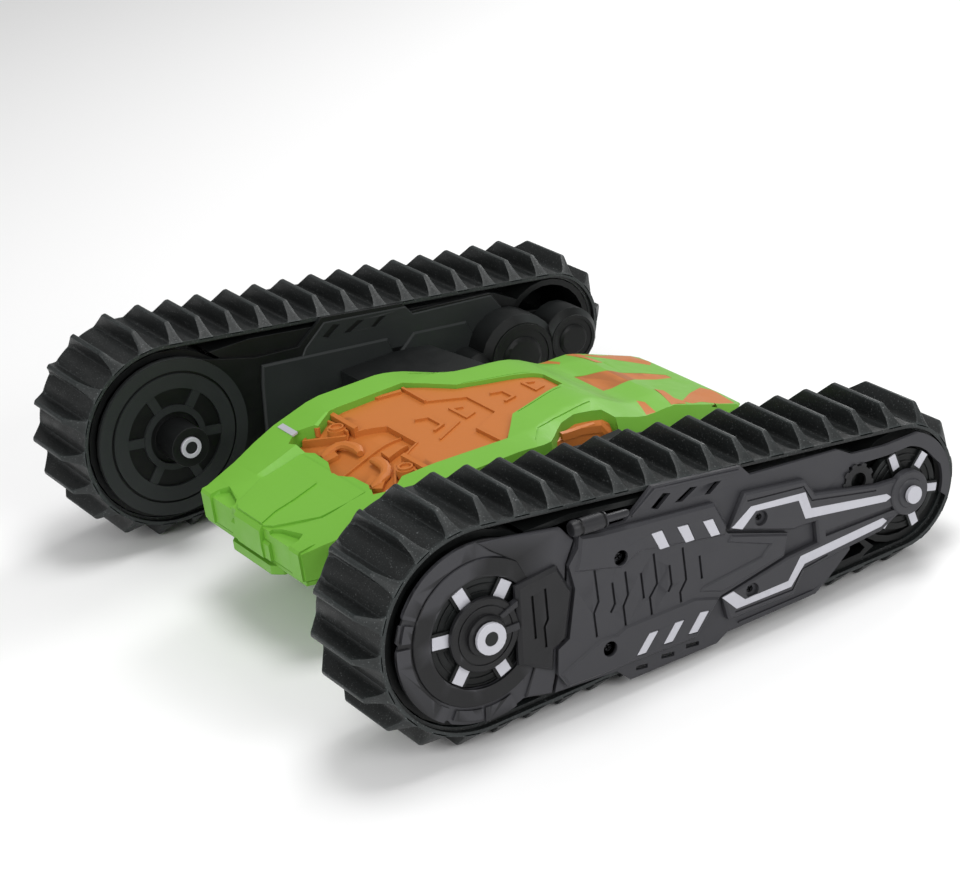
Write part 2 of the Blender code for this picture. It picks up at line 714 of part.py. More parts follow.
def settle(obj, name, finish, collection, parent, axis=(0.0, 0.0, 0.0)):
    """Name a solid, give it its finish, and put its origin on its own axis under its parent."""
    origin = Vector(axis) * MM
    base = parent_place(parent)
    obj.data.transform(Matrix.Translation(-origin))
    obj.parent = parent
    obj.location = origin - base
    obj.name = obj.data.name = name
    obj.data.materials.clear()
    obj.data.materials.append(material(finish))
    obj.data.shade_smooth()
    obj.data.set_sharp_from_angle(angle=math.radians(30))
    for linked in list(obj.users_collection):
        linked.objects.unlink(obj)
    collection.objects.link(obj)


def parent_place(parent):
    """Where a parent empty stands in the wheelbase frame."""
    return parent.location.copy() if parent.parent else Vector((0, 0, 0))


def build_hull(parts, root):
    pieces = (
        ("hull_shell", hull_shell(), GREEN),
        ("hull_tub", hull_tub(), GREEN),
        ("hood_panel", insert(HOOD, 45), ORANGE),
        ("tail_panel", insert(TAIL, 30), ORANGE),
        ("left_vent_panel", vent_panel(1), ORANGE),
        ("right_vent_panel", vent_panel(-1), ORANGE),
        ("battery_cover", battery_cover(), BLACK),
        ("battery_pack", box((-24.0, 24.0), (-49.0, 14.5), (27.0, 38.5)), WRAP),
        ("circuit_board", box((-32.0, 32.0), (24.0, 92.0), (29.5, 31.1)), BOARD),
        ("pivot_tube", ring((-116.0, 116.0), PIVOT_R, 3.4, (0, PIVOT_Z)), STEEL),
        ("left_bridge", bridge(1), BLACK),
        ("right_bridge", bridge(-1), BLACK),
        ("left_clip", ring((113.0, 114.6), 7.6, PIVOT_R + BORE_GAP, (0, PIVOT_Z), 1), STEEL),
        ("right_clip", ring((113.0, 114.6), 7.6, PIVOT_R + BORE_GAP, (0, PIVOT_Z), -1), STEEL),
    )
    for name, obj, finish in pieces:
        settle(obj, name, finish, parts, root)
    settle(power_switch(), "power_switch", BLACK, parts, root, (0.0, 63.0, BELLY_Z))


def build_track(side, label, parts, root):
    pivot = empty(f"{label}_track_pivot", (0, 0, PIVOT_Z), root, parts)
    swing = (0.0, 0.0, PIVOT_Z)
    middle = side * sum(BELT_X) / 2
    fixed = (
        ("track_frame", track_frame, BLACK),
        ("outer_plate", outer_plate, BLACK),
        ("inner_plate", inner_plate, BLACK),
        ("front_cover", front_cover, BLACK),
        ("hub_arm", hub_arm, BLACK),
        ("armor_plate", armor_plate, BLACK),
        ("rear_fork", rear_fork, BLACK),
        ("gearbox_cover", gearbox_cover, BLACK),
        ("piston", piston, BLACK),
        ("motor", motor, STEEL),
        ("front_axle", front_axle, SILVER),
        ("belt", belt, RUBBER),
    )
    for name, make, finish in fixed:
        settle(make(side), f"{label}_{name}", finish, parts, pivot, swing)
    for number, at in enumerate(SCREW_AT, 1):
        settle(screw(at, side), f"{label}_screw_{number}", STEEL, parts, pivot, swing)
    turning = (
        ("front_drum", front_drum(side), BLACK, FRONT_HUB),
        ("rear_drum", rear_drum(side), BLACK, REAR_HUB),
        ("rear_axle", rear_axle(side), SILVER, REAR_HUB),
        ("drum_gear", gear(DRUM_TEETH, REAR_HUB, side, REAR_BORE, 180, False), GEAR_WHITE, REAR_HUB),
        ("idler_gear", idler_gear(side), GEAR_WHITE, IDLER_AT),
        ("pinion", pinion(side), STEEL, PINION_AT),
    )
    for name, obj, finish, hub in turning:
        settle(obj, f"{label}_{name}", finish, parts, pivot, (middle, *hub))


def main():
    clear_scene()
    parts = bpy.data.collections.new("tracked_tank_chassis")
    bpy.context.scene.collection.children.link(parts)
    root = empty("chassis", (0, CENTRE_Y, 0), None, parts)
    build_hull(parts, root)
    build_track(1, "left", parts, root)
    build_track(-1, "right", parts, root)


main()
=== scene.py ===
"""Looks for the tracked tank chassis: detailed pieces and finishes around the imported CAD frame.

Shapes are written in millimetres in the CAD's own views: side outlines as (y, z), plans as (x, y), with
y counted from the middle of the wheelbase. A piece is built for the left track and mirrored for the right.
"""

import json
import math

import bmesh
import bpy
from mathutils import Matrix, Vector


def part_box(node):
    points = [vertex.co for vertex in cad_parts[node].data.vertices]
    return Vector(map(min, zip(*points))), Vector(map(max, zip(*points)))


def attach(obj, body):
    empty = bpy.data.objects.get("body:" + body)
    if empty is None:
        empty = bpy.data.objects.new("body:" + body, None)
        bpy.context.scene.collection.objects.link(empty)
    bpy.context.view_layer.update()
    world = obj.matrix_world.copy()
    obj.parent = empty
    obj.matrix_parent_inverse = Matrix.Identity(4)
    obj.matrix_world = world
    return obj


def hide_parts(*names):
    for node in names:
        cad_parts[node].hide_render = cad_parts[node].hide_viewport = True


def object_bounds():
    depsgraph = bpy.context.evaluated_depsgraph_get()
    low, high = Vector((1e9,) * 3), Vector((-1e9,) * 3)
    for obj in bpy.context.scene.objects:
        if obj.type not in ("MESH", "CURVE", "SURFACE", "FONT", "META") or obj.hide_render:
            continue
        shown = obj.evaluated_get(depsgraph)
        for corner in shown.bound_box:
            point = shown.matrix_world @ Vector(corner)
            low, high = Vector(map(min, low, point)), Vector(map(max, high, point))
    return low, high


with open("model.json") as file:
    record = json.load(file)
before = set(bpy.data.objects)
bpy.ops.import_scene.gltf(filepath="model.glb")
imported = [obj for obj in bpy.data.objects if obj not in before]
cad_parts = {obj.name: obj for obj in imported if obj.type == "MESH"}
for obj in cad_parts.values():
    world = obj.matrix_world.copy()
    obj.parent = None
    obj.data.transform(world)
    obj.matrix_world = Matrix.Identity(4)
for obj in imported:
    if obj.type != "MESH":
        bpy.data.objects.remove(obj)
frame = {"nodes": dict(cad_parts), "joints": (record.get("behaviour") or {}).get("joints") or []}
cad_low, cad_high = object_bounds()

MM = 0.001
SIDES = (("left", 1), ("right", -1))
JOINT_AT = {joint["name"]: Vector(joint["pos_m"]) / MM for joint in frame["joints"] if "pos_m" in joint}
CENTRE_Y = JOINT_AT["left_track_swing"].y


def span(node, axis):
    """The lowest and highest place of a CAD node along one axis, in mm; y from the wheelbase's middle."""
    low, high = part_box(node)
    shift = CENTRE_Y if axis == 1 else 0.0
    return low[axis] / MM - shift, high[axis] / MM - shift


def hub(joint):
    return JOINT_AT[joint].y - CENTRE_Y, JOINT_AT[joint].z


FRONT_HUB = hub("left_front_wheel_spin")
REAR_HUB = hub("left_rear_wheel_spin")
BELT_X = span("left_belt", 0)
PLATE_X = span("left_outer_plate", 0)
ARMOR_X = (PLATE_X[1] + 0.3, PLATE_X[1] + 3.3)
INNER_FACE = 106.9              # the face of the inner plate that looks at the hull
THROUGH = (150, 180)            # the reach of a cutter that goes right through the outer plates
PAST_HUBS = (150, 185)          # the same, past the bosses on the hubs too
THROUGH_INNER = (90, 120)       # the same, through the inner plates
DOME_AT = (hub("left_idler_spin"), REAR_HUB)
DOME_R = (21.6, 15.6)
RIM_Z = span("hull_tub", 2)[1] + 0.3

# Belt
FRONT_R = 43.9                  # outer surface of the band round the front drum
REAR_R = 28.4
BAND = 3.0
EDGE = 1.7                      # thickness of the band's two edges
TREADS = 42
TREAD_PHASE = 0.3
TREAD_SHAPE = (                 # height above the band, half thickness, the same at the ends, their draw-in
    (-0.5, 2.9, 4.3, 0.0), (0.0, 2.4, 3.9, 0.0), (0.5, 2.05, 3.3, 0.5), (1.5, 1.85, 2.75, 1.5),
    (3.2, 1.65, 2.1, 3.4), (5.4, 1.45, 1.6, 6.2), (7.0, 1.3, 1.3, 8.3), (7.75, 1.1, 1.1, 9.3),
    (8.1, 0.55, 0.55, 10.0),
)
TREAD_FOOT = 4.0                # how far in from its ends a tread's foot spreads

# Hull: y, deck z, deck half width, rail inner x and z, shoulder x and z, half width at the rim
HULL = (
    (-121.5, 52.0, 16.0, 36.0, 52.0, 46.0, 50.8, 46.0),
    (-101.0, 53.8, 27.4, 31.0, 55.6, 52.4, 55.0, 52.6),
    (-88.0, 55.8, 28.3, 32.0, 59.0, 56.5, 58.8, 55.0),
    (-76.0, 58.4, 29.5, 34.0, 62.0, 59.5, 62.0, 57.5),
    (-57.0, 65.0, 39.0, 43.0, 67.0, 61.5, 66.4, 58.5),
    (-50.0, 66.7, 40.0, 44.0, 67.3, 62.0, 67.2, 58.5),
    (-20.0, 66.7, 44.0, 46.0, 66.9, 62.0, 67.2, 58.5),
    (-6.0, 66.5, 42.0, 46.0, 66.5, 60.0, 65.0, 58.0),
    (10.0, 66.0, 34.0, 38.0, 66.0, 51.0, 61.5, 54.0),
    (36.0, 64.3, 30.0, 34.0, 64.2, 46.5, 58.8, 52.0),
    (56.5, 54.8, 30.0, 34.0, 54.6, 44.5, 52.0, 49.5),
    (73.0, 53.4, 27.0, 31.0, 53.2, 44.0, 51.6, 48.5),
    (80.0, 50.6, 28.0, 32.0, 50.5, 44.5, 49.4, 48.0),
    (108.0, 41.0, 24.0, 28.0, 41.0, 42.5, 39.4, 43.5),
)
SMOOTH_FROM = -20.0             # the hull's lines are curved behind this y and straight before it
BAY, PLATE, NECK = -5.6, -3.0, -2.0   # levels of the hood's three floors below the deck


# Shapes


def clear(obj):
    bpy.data.objects.remove(obj, do_unlink=True)


def mesh_object(bm, name="shape"):
    bmesh.ops.recalc_face_normals(bm, faces=bm.faces)
    mesh = bpy.data.meshes.new(name)
    bm.to_mesh(mesh)
    bm.free()
    obj = bpy.data.objects.new(name, mesh)
    bpy.context.scene.collection.objects.link(obj)
    return obj


def evaluated(obj):
    bpy.context.view_layer.update()
    mesh = bpy.data.meshes.new_from_object(obj.evaluated_get(bpy.context.evaluated_depsgraph_get()))
    bm = bmesh.new()
    bm.from_mesh(mesh)
    bmesh.ops.transform(bm, matrix=obj.matrix_world, verts=bm.verts)
    bmesh.ops.remove_doubles(bm, verts=bm.verts, dist=1e-4)
    bpy.data.meshes.remove(mesh)
    clear(obj)
    return mesh_object(bm)


def volume(obj):
    bm = bmesh.new()
    bm.from_mesh(obj.data)
    amount = bm.calc_volume(signed=True)
    bm.free()
    return amount


def sound(before, tool, after, operation):
    """Whether a boolean's result has a volume that its two shapes can give."""
    if operation == "DIFFERENCE":
        return before - tool * 1.02 - 0.1 <= after <= before * 1.002
    if operation == "UNION":
        return max(before, tool) * 0.99 <= after <= (before + tool) * 1.01
    return after <= min(before, tool) * 1.01


def boolean(base, tools, operation):
    """Apply the tools one by one; a result that can't be right is made again with a slower setting."""
    for tool in tools:
        before, size = volume(base), volume(tool)
        for careful in (False, True):
            trial = base.copy()
            bpy.context.scene.collection.objects.link(trial)
            step = trial.modifiers.new(operation.lower(), "BOOLEAN")
            step.operation = operation
            step.object = tool
            step.solver = "EXACT"
            step.use_self = careful
            result = evaluated(trial)
            if sound(before, size, volume(result), operation):
                clear(base)
                base = result
                break
            clear(result)
        else:
            print("left out a step:", operation, round(before), round(size, 1))
        clear(tool)
    return base


def cut(base, *tools):
    return boolean(base, tools, "DIFFERENCE")


def join(base, *tools):
    return boolean(base, tools, "UNION")


def common(base, tool):
    return boolean(base, (tool,), "INTERSECT")


def together(*shapes):
    """Several closed shapes as one mesh, with no boolean."""
    bm = bmesh.new()
    for shape in shapes:
        bm.from_mesh(shape.data)
        clear(shape)
    return mesh_object(bm)


def circle(centre, radius, count=40):
    return arc(centre, radius, 0, 360 - 360 / count, count)


def arc(centre, radius, first, last, count):
    angles = [math.radians(first + (last - first) * i / (count - 1)) for i in range(count)]
    return [(centre[0] + radius * math.cos(a), centre[1] + radius * math.sin(a)) for a in angles]


SIDE_VIEW = Matrix(((0, 0, 1, 0), (1, 0, 0, 0), (0, 1, 0, 0), (0, 0, 0, 1)))


def flat(outline, holes, low, high, turn):
    curve = bpy.data.curves.new("outline", "CURVE")
    curve.dimensions = "2D"
    curve.fill_mode = "BOTH"
    curve.extrude = (high - low) / 2
    for points in (outline, *holes):
        spline = curve.splines.new("POLY")
        spline.points.add(len(points) - 1)
        for point, (u, v) in zip(spline.points, points):
            point.co = (u, v, 0.0, 1.0)
        spline.use_cyclic_u = True
    obj = bpy.data.objects.new("outline", curve)
    bpy.context.scene.collection.objects.link(obj)
    obj.matrix_world = turn @ Matrix.Translation((0, 0, (low + high) / 2))
    return evaluated(obj)


def side_plate(outline, xs, holes=()):
    return flat(outline, holes, xs[0], xs[1], SIDE_VIEW)


def slab(outline, zs, holes=()):
    return flat(outline, holes, zs[0], zs[1], Matrix.Identity(4))


def box(xs, ys, zs):
    return slab([(xs[0], ys[0]), (xs[1], ys[0]), (xs[1], ys[1]), (xs[0], ys[1])], zs)


def walls(bm, rings):
    """Faces from each ring of corners to the next."""
    for here, after in zip(rings, rings[1:]):
        for k in range(len(here)):
            beside = (k + 1) % len(here)
            bm.faces.new((here[k], here[beside], after[beside], after[k]))


def capped_walls(bm, rings):
    walls(bm, rings)
    bm.faces.new(rings[0])
    bm.faces.new(reversed(rings[-1]))


def spun(profile, start, end, steps=32):
    """A closed turned shape on the line from start to end; the profile holds (share of the line, radius)."""
    start, end = Vector(start), Vector(end)
    along = end - start
    across = along.orthogonal().normalized()
    upright = along.normalized().cross(across)
    bm = bmesh.new()
    rings = []
    for share, radius in profile:
        spots = []
        for step in range(steps):
            angle = 2 * math.pi * step / steps
            outwards = across * math.cos(angle) + upright * math.sin(angle)
            spots.append(start + along * share + outwards * radius)
        rings.append([bm.verts.new(spot) for spot in spots])
    capped_walls(bm, rings)
    return mesh_object(bm)


def turned(profile, centre, steps=48):
    """A closed turned shape on an axis along x; the profile holds (x, radius)."""
    low, high = profile[0][0], profile[-1][0]
    shares = [((x - low) / (high - low), radius) for x, radius in profile]
    return spun(shares, (low, *centre), (high, *centre), steps)


def offset(outline, by):
    """An outline moved outwards by a distance along all of its edges; inwards if the distance is negative."""
    area = sum(p[0] * q[1] - q[0] * p[1] for p, q in zip(outline, outline[1:] + outline[:1]))
    by = by if area > 0 else -by
    moved = []
    for i, point in enumerate(outline):
        point = Vector(point)
        before = (point - Vector(outline[i - 1])).normalized()
        after = (Vector(outline[(i + 1) % len(outline)]) - point).normalized()
        first, second = Vector((before.y, -before.x)), Vector((after.y, -after.x))
        mitre = (first + second).normalized()
        moved.append(tuple(point + mitre * (by / max(0.5, mitre.dot(first)))))
    return moved


def split_large_faces(bm):
    large = [face for face in bm.faces if len(face.verts) > 4]
    bmesh.ops.triangulate(bm, faces=large, ngon_method="EAR_CLIP")


def panel(outline, xs, chamfer):
    """A plate in the side view whose outer edges are cut back at 45 degrees."""
    outline = list(outline)
    low, high = xs
    levels = ((low, outline), (high - chamfer, outline), (high, offset(outline, -chamfer)))
    bm = bmesh.new()
    rings = [[bm.verts.new((x, y, z)) for y, z in points] for x, points in levels]
    capped_walls(bm, rings)
    bm.normal_update()
    split_large_faces(bm)
    return mesh_object(bm)


def hoop(profile, centre, steps=72):
    """A closed profile of (x, radius) carried round an axis along x."""
    bm = bmesh.new()
    rings = []
    for step in range(steps):
        angle = 2 * math.pi * step / steps
        y, z = math.cos(angle), math.sin(angle)
        rings.append([bm.verts.new((x, centre[0] + r * y, centre[1] + r * z)) for x, r in profile])
    walls(bm, rings + rings[:1])
    return mesh_object(bm)


def ring(xs, outer, inner, centre, steps=48):
    return side_plate(circle(centre, outer, steps), xs, (circle(centre, inner, steps),))


def both_halves(half):
    """Close a half plan given from its front end to its rear end."""
    return list(half) + [(-x, y) for x, y in reversed(half) if x > 0]


def mirrored(outline):
    return [(-x, y) for x, y in reversed(outline)]


def stroke(points, width):
    """The outline of a broken line of that width, with square ends."""
    left, right = [], []
    points = [Vector(p) for p in points]
    for i, point in enumerate(points):
        before = (point - points[i - 1]).normalized() if i else None
        after = (points[i + 1] - point).normalized() if i + 1 < len(points) else None
        along = (before or after) if not (before and after) else (before + after).normalized()
        normal = Vector((-along.y, along.x))
        reach = width / 2
        if before and after:
            reach /= max(0.35, normal.dot(Vector((-after.y, after.x))))
        left.append(tuple(point + normal * reach))
        right.append(tuple(point - normal * reach))
    return left + right[::-1]


# Hull surface


def hull_row(y):
    """The hull's section at y, blended between its stations."""
    y = min(max(y, HULL[0][0]), HULL[-1][0])
    i = max(k for k in range(len(HULL) - 1) if HULL[k][0] <= y)
    first, last = HULL[i], HULL[i + 1]
    t = (y - first[0]) / (last[0] - first[0])
    if first[0] < SMOOTH_FROM:
        return [a + (b - a) * t for a, b in zip(first, last)]
    before, after = HULL[max(i - 1, 0)], HULL[min(i + 2, len(HULL) - 1)]
    gap = last[0] - first[0]
    row = []
    for p, a, b, q in zip(before, first, last, after):
        lead = (b - p) * gap / max(last[0] - before[0], 1e-6)
        trail = (q - a) * gap / max(after[0] - first[0], 1e-6)
        h = (2 * t**3 - 3 * t**2 + 1, t**3 - 2 * t**2 + t, 3 * t**2 - 2 * t**3, t**3 - t**2)
        row.append(a * h[0] + lead * h[1] + b * h[2] + trail * h[3])
    return row


def deck_z(x, y):
    """Height of the deck's middle at y; the hood's floors follow it."""
    return hull_row(y)[1]


def skin_z(x, y):
    """Height of the hull's surface at a place in the plan."""
    _, deck, deck_half, rail_x, rail_z, shoulder_x, shoulder_z, rim_x = hull_row(y)
    x = abs(x)
    stops = ((0.0, deck), (deck_half, deck), (rail_x, rail_z), (shoulder_x, shoulder_z), (rim_x + 4.0, RIM_Z))
    for (x0, z0), (x1, z1) in zip(stops, stops[1:]):
        if x <= x1:
            return z0 + (z1 - z0) * (x - x0) / (x1 - x0)
    return RIM_Z


OFF_CORNERS = 0.013             # keeps the slicing planes off the outlines' own corners


def drape(outline, low, high, surface=skin_z, step=4.0):
    """A slab that follows a surface, from low to high above it."""
    shape = slab(outline, (0.0, 1.0))
    bm = bmesh.new()
    bm.from_mesh(shape.data)
    clear(shape)
    bmesh.ops.triangulate(bm, faces=bm.faces)
    xs, ys = [x for x, _ in outline], [y for _, y in outline]
    for values, normal in ((xs, (1, 0, 0)), (ys, (0, 1, 0))):
        at = math.ceil(min(values) / step) * step
        while at < max(values):
            geometry = bm.verts[:] + bm.edges[:] + bm.faces[:]
            spot = Vector(normal) * (at + OFF_CORNERS)
            bmesh.ops.bisect_plane(bm, geom=geometry, plane_co=spot, plane_no=normal)
            at += step
    for vert in bm.verts:
        vert.co.z = surface(vert.co.x, vert.co.y) + low + (high - low) * vert.co.z
    return mesh_object(bm)


# Materials


def node(tree, kind, **values):
    made = tree.nodes.new(kind)
    for name, value in values.items():
        if hasattr(made, name):
            setattr(made, name, value)
        else:
            made.inputs[name.replace("_", " ")].default_value = value
    return made


def noise(tree, coords, scale, detail=3.0):
    made = node(tree, "ShaderNodeTexNoise", Scale=scale, Detail=detail, Roughness=0.55)
    tree.links.new(coords, made.inputs["Vector"])
    return made.outputs["Fac"]


def ramp(tree, source, low, high, start=0.0, end=1.0):
    made = node(tree, "ShaderNodeMapRange")
    for socket, value in (("From Min", low), ("From Max", high), ("To Min", start), ("To Max", end)):
        made.inputs[socket].default_value = value
    tree.links.new(source, made.inputs["Value"])
    return made.outputs["Result"]


def blend(tree, factor, first, second, mode="MIX"):
    made = node(tree, "ShaderNodeMix", data_type="RGBA", blend_type=mode)
    slots = [s for s in made.inputs if s.type == "RGBA"]
    for slot, value in zip(slots, (first, second)):
        if isinstance(value, bpy.types.NodeSocket):
            tree.links.new(value, slot)
        else:
            slot.default_value = (*value, 1.0)
    if isinstance(factor, bpy.types.NodeSocket):
        tree.links.new(factor, made.inputs["Factor"])
    else:
        made.inputs["Factor"].default_value = factor
    return next(s for s in made.outputs if s.type == "RGBA")


def shade(colour, amount):
    return tuple(min(1.0, c * amount) for c in colour)


def finish(name, colour, rough, metallic=0.0, grain=1400.0, bump=0.25, depth=0.00008, edge_highlight=1.5, mottle=0.07,
           speckle=0.0, specular=0.5, coat=0.0):
    """A procedural finish: broad colour drift, fine mottling, painted highlights on the edges, specks, grain
    and bump.
    """
    mat = bpy.data.materials.new(name)
    mat.use_nodes = True
    tree = mat.node_tree
    shader = tree.nodes["Principled BSDF"]
    shader.inputs["Metallic"].default_value = metallic
    shader.inputs["Specular IOR Level"].default_value = specular
    shader.inputs["Coat Weight"].default_value = coat
    coords = node(tree, "ShaderNodeTexCoord").outputs["Object"]
    drift = ramp(tree, noise(tree, coords, 28.0), 0.3, 0.7)
    base = blend(tree, drift, shade(colour, 1 - mottle), shade(colour, 1 + mottle))
    fine = ramp(tree, noise(tree, coords, 700.0), 0.35, 0.65)
    base = blend(tree, fine, base, shade(colour, 1 + mottle * 0.6))
    # Painted highlight: the colour is lightened on convex edges, as if they caught the light.
    edges = node(tree, "ShaderNodeNewGeometry").outputs["Pointiness"]
    edge_highlight_mask = ramp(tree, edges, 0.52, 0.62, 0.0, 0.6)
    base = blend(tree, edge_highlight_mask, base, shade(colour, edge_highlight))
    if speckle:
        specks = ramp(tree, noise(tree, coords, 1500.0, 2.0), 0.62, 0.74, 0.0, speckle)
        base = blend(tree, specks, base, (0.32, 0.34, 0.34))
    tree.links.new(base, shader.inputs["Base Color"])
    patchy = ramp(tree, noise(tree, coords, 90.0), 0.3, 0.7, rough - 0.06, rough + 0.08)
    tree.links.new(patchy, shader.inputs["Roughness"])
    lumps = node(tree, "ShaderNodeBump", Strength=bump, Distance=depth)
    tree.links.new(noise(tree, coords, grain, 4.0), lumps.inputs["Height"])
    tree.links.new(lumps.outputs["Normal"], shader.inputs["Normal"])
    return mat


# The edge factor in each finish below sets how much lighter its painted edge highlight is; it is strongest on
# the dark nylons and the rubber.
GREEN = finish("green_abs", (0.145, 0.375, 0.036), 0.46, mottle=0.03, edge_highlight=1.2, bump=0.1, specular=0.3)
ORANGE = finish("orange_abs", (0.35, 0.108, 0.02), 0.48, mottle=0.06, edge_highlight=1.7, bump=0.15, specular=0.3)
DARK = finish("dark_nylon", (0.0065, 0.0065, 0.0073), 0.42, mottle=0.15, edge_highlight=9.0, bump=0.3, specular=0.29)
# Painted shade: a darker copy of the dark nylon, for the parts inside the tracks and on their inner faces,
# which sit in shade.
DARK_IN_SHADE = finish("black_nylon", (0.003, 0.0034, 0.0034), 0.42, mottle=0.2, edge_highlight=10.0, bump=0.3, specular=0.22)
RUBBER = finish("moulded_rubber", (0.006, 0.0075, 0.0075), 0.5, grain=1100.0, bump=0.5, depth=0.00015,
                edge_highlight=9.0, mottle=0.25, speckle=0.35, specular=0.4)
SILVER = finish("silver_paint", (0.46, 0.46, 0.5), 0.42, metallic=0.2, edge_highlight=1.15, mottle=0.05, bump=0.2)
STEEL = finish("zinc_steel", (0.44, 0.44, 0.46), 0.3, metallic=1.0, edge_highlight=1.3, mottle=0.08, bump=0.12)
BLACK_STEEL = finish("black_oxide", (0.02, 0.02, 0.022), 0.35, metallic=0.6, edge_highlight=2.0, mottle=0.1, bump=0.15)
GEAR_WHITE = finish("acetal", (0.72, 0.71, 0.66), 0.38, edge_highlight=1.05, mottle=0.03, bump=0.1)
BOARD = finish("board_mask", (0.018, 0.15, 0.05), 0.35, mottle=0.1, edge_highlight=1.4, coat=0.2)
WRAP = finish("shrink_wrap", (0.045, 0.08, 0.30), 0.32, mottle=0.08, edge_highlight=1.3, coat=0.3)


# Placing


def place(shape, name, body, look, replaces=(), bevel=0.3, segments=2, sharp=30.0):
    """Settle a shape built in mm as a piece; {side} in its name makes one for each track."""
    bm = bmesh.new()
    bm.from_mesh(shape.data)
    clear(shape)
    bmesh.ops.dissolve_limit(bm, angle_limit=math.radians(0.4), verts=bm.verts, edges=bm.edges)
    split_large_faces(bm)
    to_metres = Matrix.Diagonal((MM, MM, MM, 1.0)) @ Matrix.Translation((0, CENTRE_Y, 0))
    bmesh.ops.transform(bm, matrix=to_metres, verts=bm.verts)
    for side, sign in SIDES if "{side}" in name else (("", 1),):
        mesh = bpy.data.meshes.new(name.format(side=side))
        bm.to_mesh(mesh)
        if sign < 0:
            mesh.transform(Matrix.Diagonal((-1, 1, 1, 1)))
            mesh.flip_normals()
        mesh.materials.append(look)
        obj = bpy.data.objects.new(mesh.name, mesh)
        bpy.context.scene.collection.objects.link(obj)
        soften(obj, bevel, segments, sharp)
        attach(obj, body.format(side=side))
        for cad_node in replaces:
            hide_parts(cad_node.format(side=side))
    bm.free()


def soften(obj, bevel, segments=2, sharp=30.0):
    obj.data.shade_smooth()
    obj.data.set_sharp_from_angle(angle=math.radians(40))
    if not bevel:
        return
    round_off = obj.modifiers.new("edges", "BEVEL")
    round_off.width = bevel * MM
    round_off.segments = segments
    round_off.limit_method = "ANGLE"
    round_off.angle_limit = math.radians(sharp)
    round_off.miter_outer = "MITER_ARC"
    obj.modifiers.new("normals", "WEIGHTED_NORMAL").keep_sharp = True


TRACK = "{side}_track"


# Hull pieces


HOOD_FRONT = (
    (0.1, -79.5), (11.0, -75.0), (24.0, -74.5), (38.0, -80.0), (44.0, -73.0), (38.0, -64.0), (43.0, -54.5),
)
HOOD_REAR = ((45.0, -15.0), (36.0, -8.0), (24.0, 1.0), (10.6, 34.0), (8.0, 38.0))
HOOD = both_halves(HOOD_FRONT + HOOD_REAR)
TAIL = both_halves(((12.2, 56.5), (8.8, 73.2), (6.0, 78.0), (5.6, 90.0), (2.6, 100.5)))
STRIPE = ((31.3, 61.2), (34.4, 63.6), (44.0, 62.8), (44.0, 57.6))
Y_MARK = ((23.6, 76.6), (24.4, 80.6), (36.0, 78.5), (40.0, 81.0), (43.2, 80.0), (43.2, 72.0), (36.5, 73.6))
CORNER = (
    (40.0, 80.0), (29.0, 92.0), (20.0, 104.0), (24.0, 107.3), (41.5, 107.3), (42.5, 98.0), (40.5, 90.0),
    (42.8, 83.5),
)
VENT = (
    (41.0, 36.5), (40.5, 22.0), (43.5, 13.5), (47.3, 9.0), (57.5, -1.0), (64.0, -1.0), (64.0, 40.0),
    (46.0, 40.0),
)
SHOULDER_LINE = ((35.2, 34.5), (37.6, 24.0), (40.2, 12.0), (44.6, 1.0), (54.0, -6.4))
NECK_LINE = ((23.6, 4.0), (12.6, 34.0))
NOSE_NOTCH = ((17.6, -126.0), (17.6, -119.4), (21.0, -116.8), (34.0, -113.4), (36.6, -117.4), (36.6, -126.0))
FLANK_GROOVE = ((-119.0, 46.4), (-60.0, 52.6), (-60.0, 54.8), (-119.0, 48.0))
TICK_AT, TICK_LONG = (48.9, -74.2), 14.0


def hull_rows():
    rows = []
    for first, last in zip(HULL, HULL[1:]):
        count = max(1, round((last[0] - first[0]) / 5.0))
        rows += [hull_row(first[0] + (last[0] - first[0]) * k / count) for k in range(count)]
    return rows + [hull_row(HULL[-1][0])]


def hull_solid():
    """The upper hull as one closed loft from its rim up."""
    sections = []
    for y, deck, deck_half, rail_x, rail_z, shoulder_x, shoulder_z, rim_x in hull_rows():
        half = [(0.0, deck), (deck_half, deck), (rail_x, rail_z), (shoulder_x, shoulder_z), (rim_x, RIM_Z)]
        sections.append([(-x, y, z) for x, z in reversed(half)] + [(x, y, z) for x, z in half[1:]])
    tail_y = span("hull_shell", 1)[1]
    sections.append([(x * 0.94, tail_y, RIM_Z + (z - RIM_Z) * 0.25) for x, _, z in sections[-1]])
    bm = bmesh.new()
    grid = [[bm.verts.new(point) for point in section] for section in sections]
    for row, after in zip(grid, grid[1:]):
        for i in range(len(row) - 1):
            bm.faces.new((row[i], row[i + 1], after[i + 1], after[i]))
    for i in range(len(grid) - 1):
        bm.faces.new((grid[i][0], grid[i + 1][0], grid[i + 1][-1], grid[i][-1]))
    bm.faces.new(grid[0])
    bm.faces.new(reversed(grid[-1]))
    return mesh_object(bm)


def sided(outline, sign):
    return list(outline) if sign > 0 else mirrored(outline)


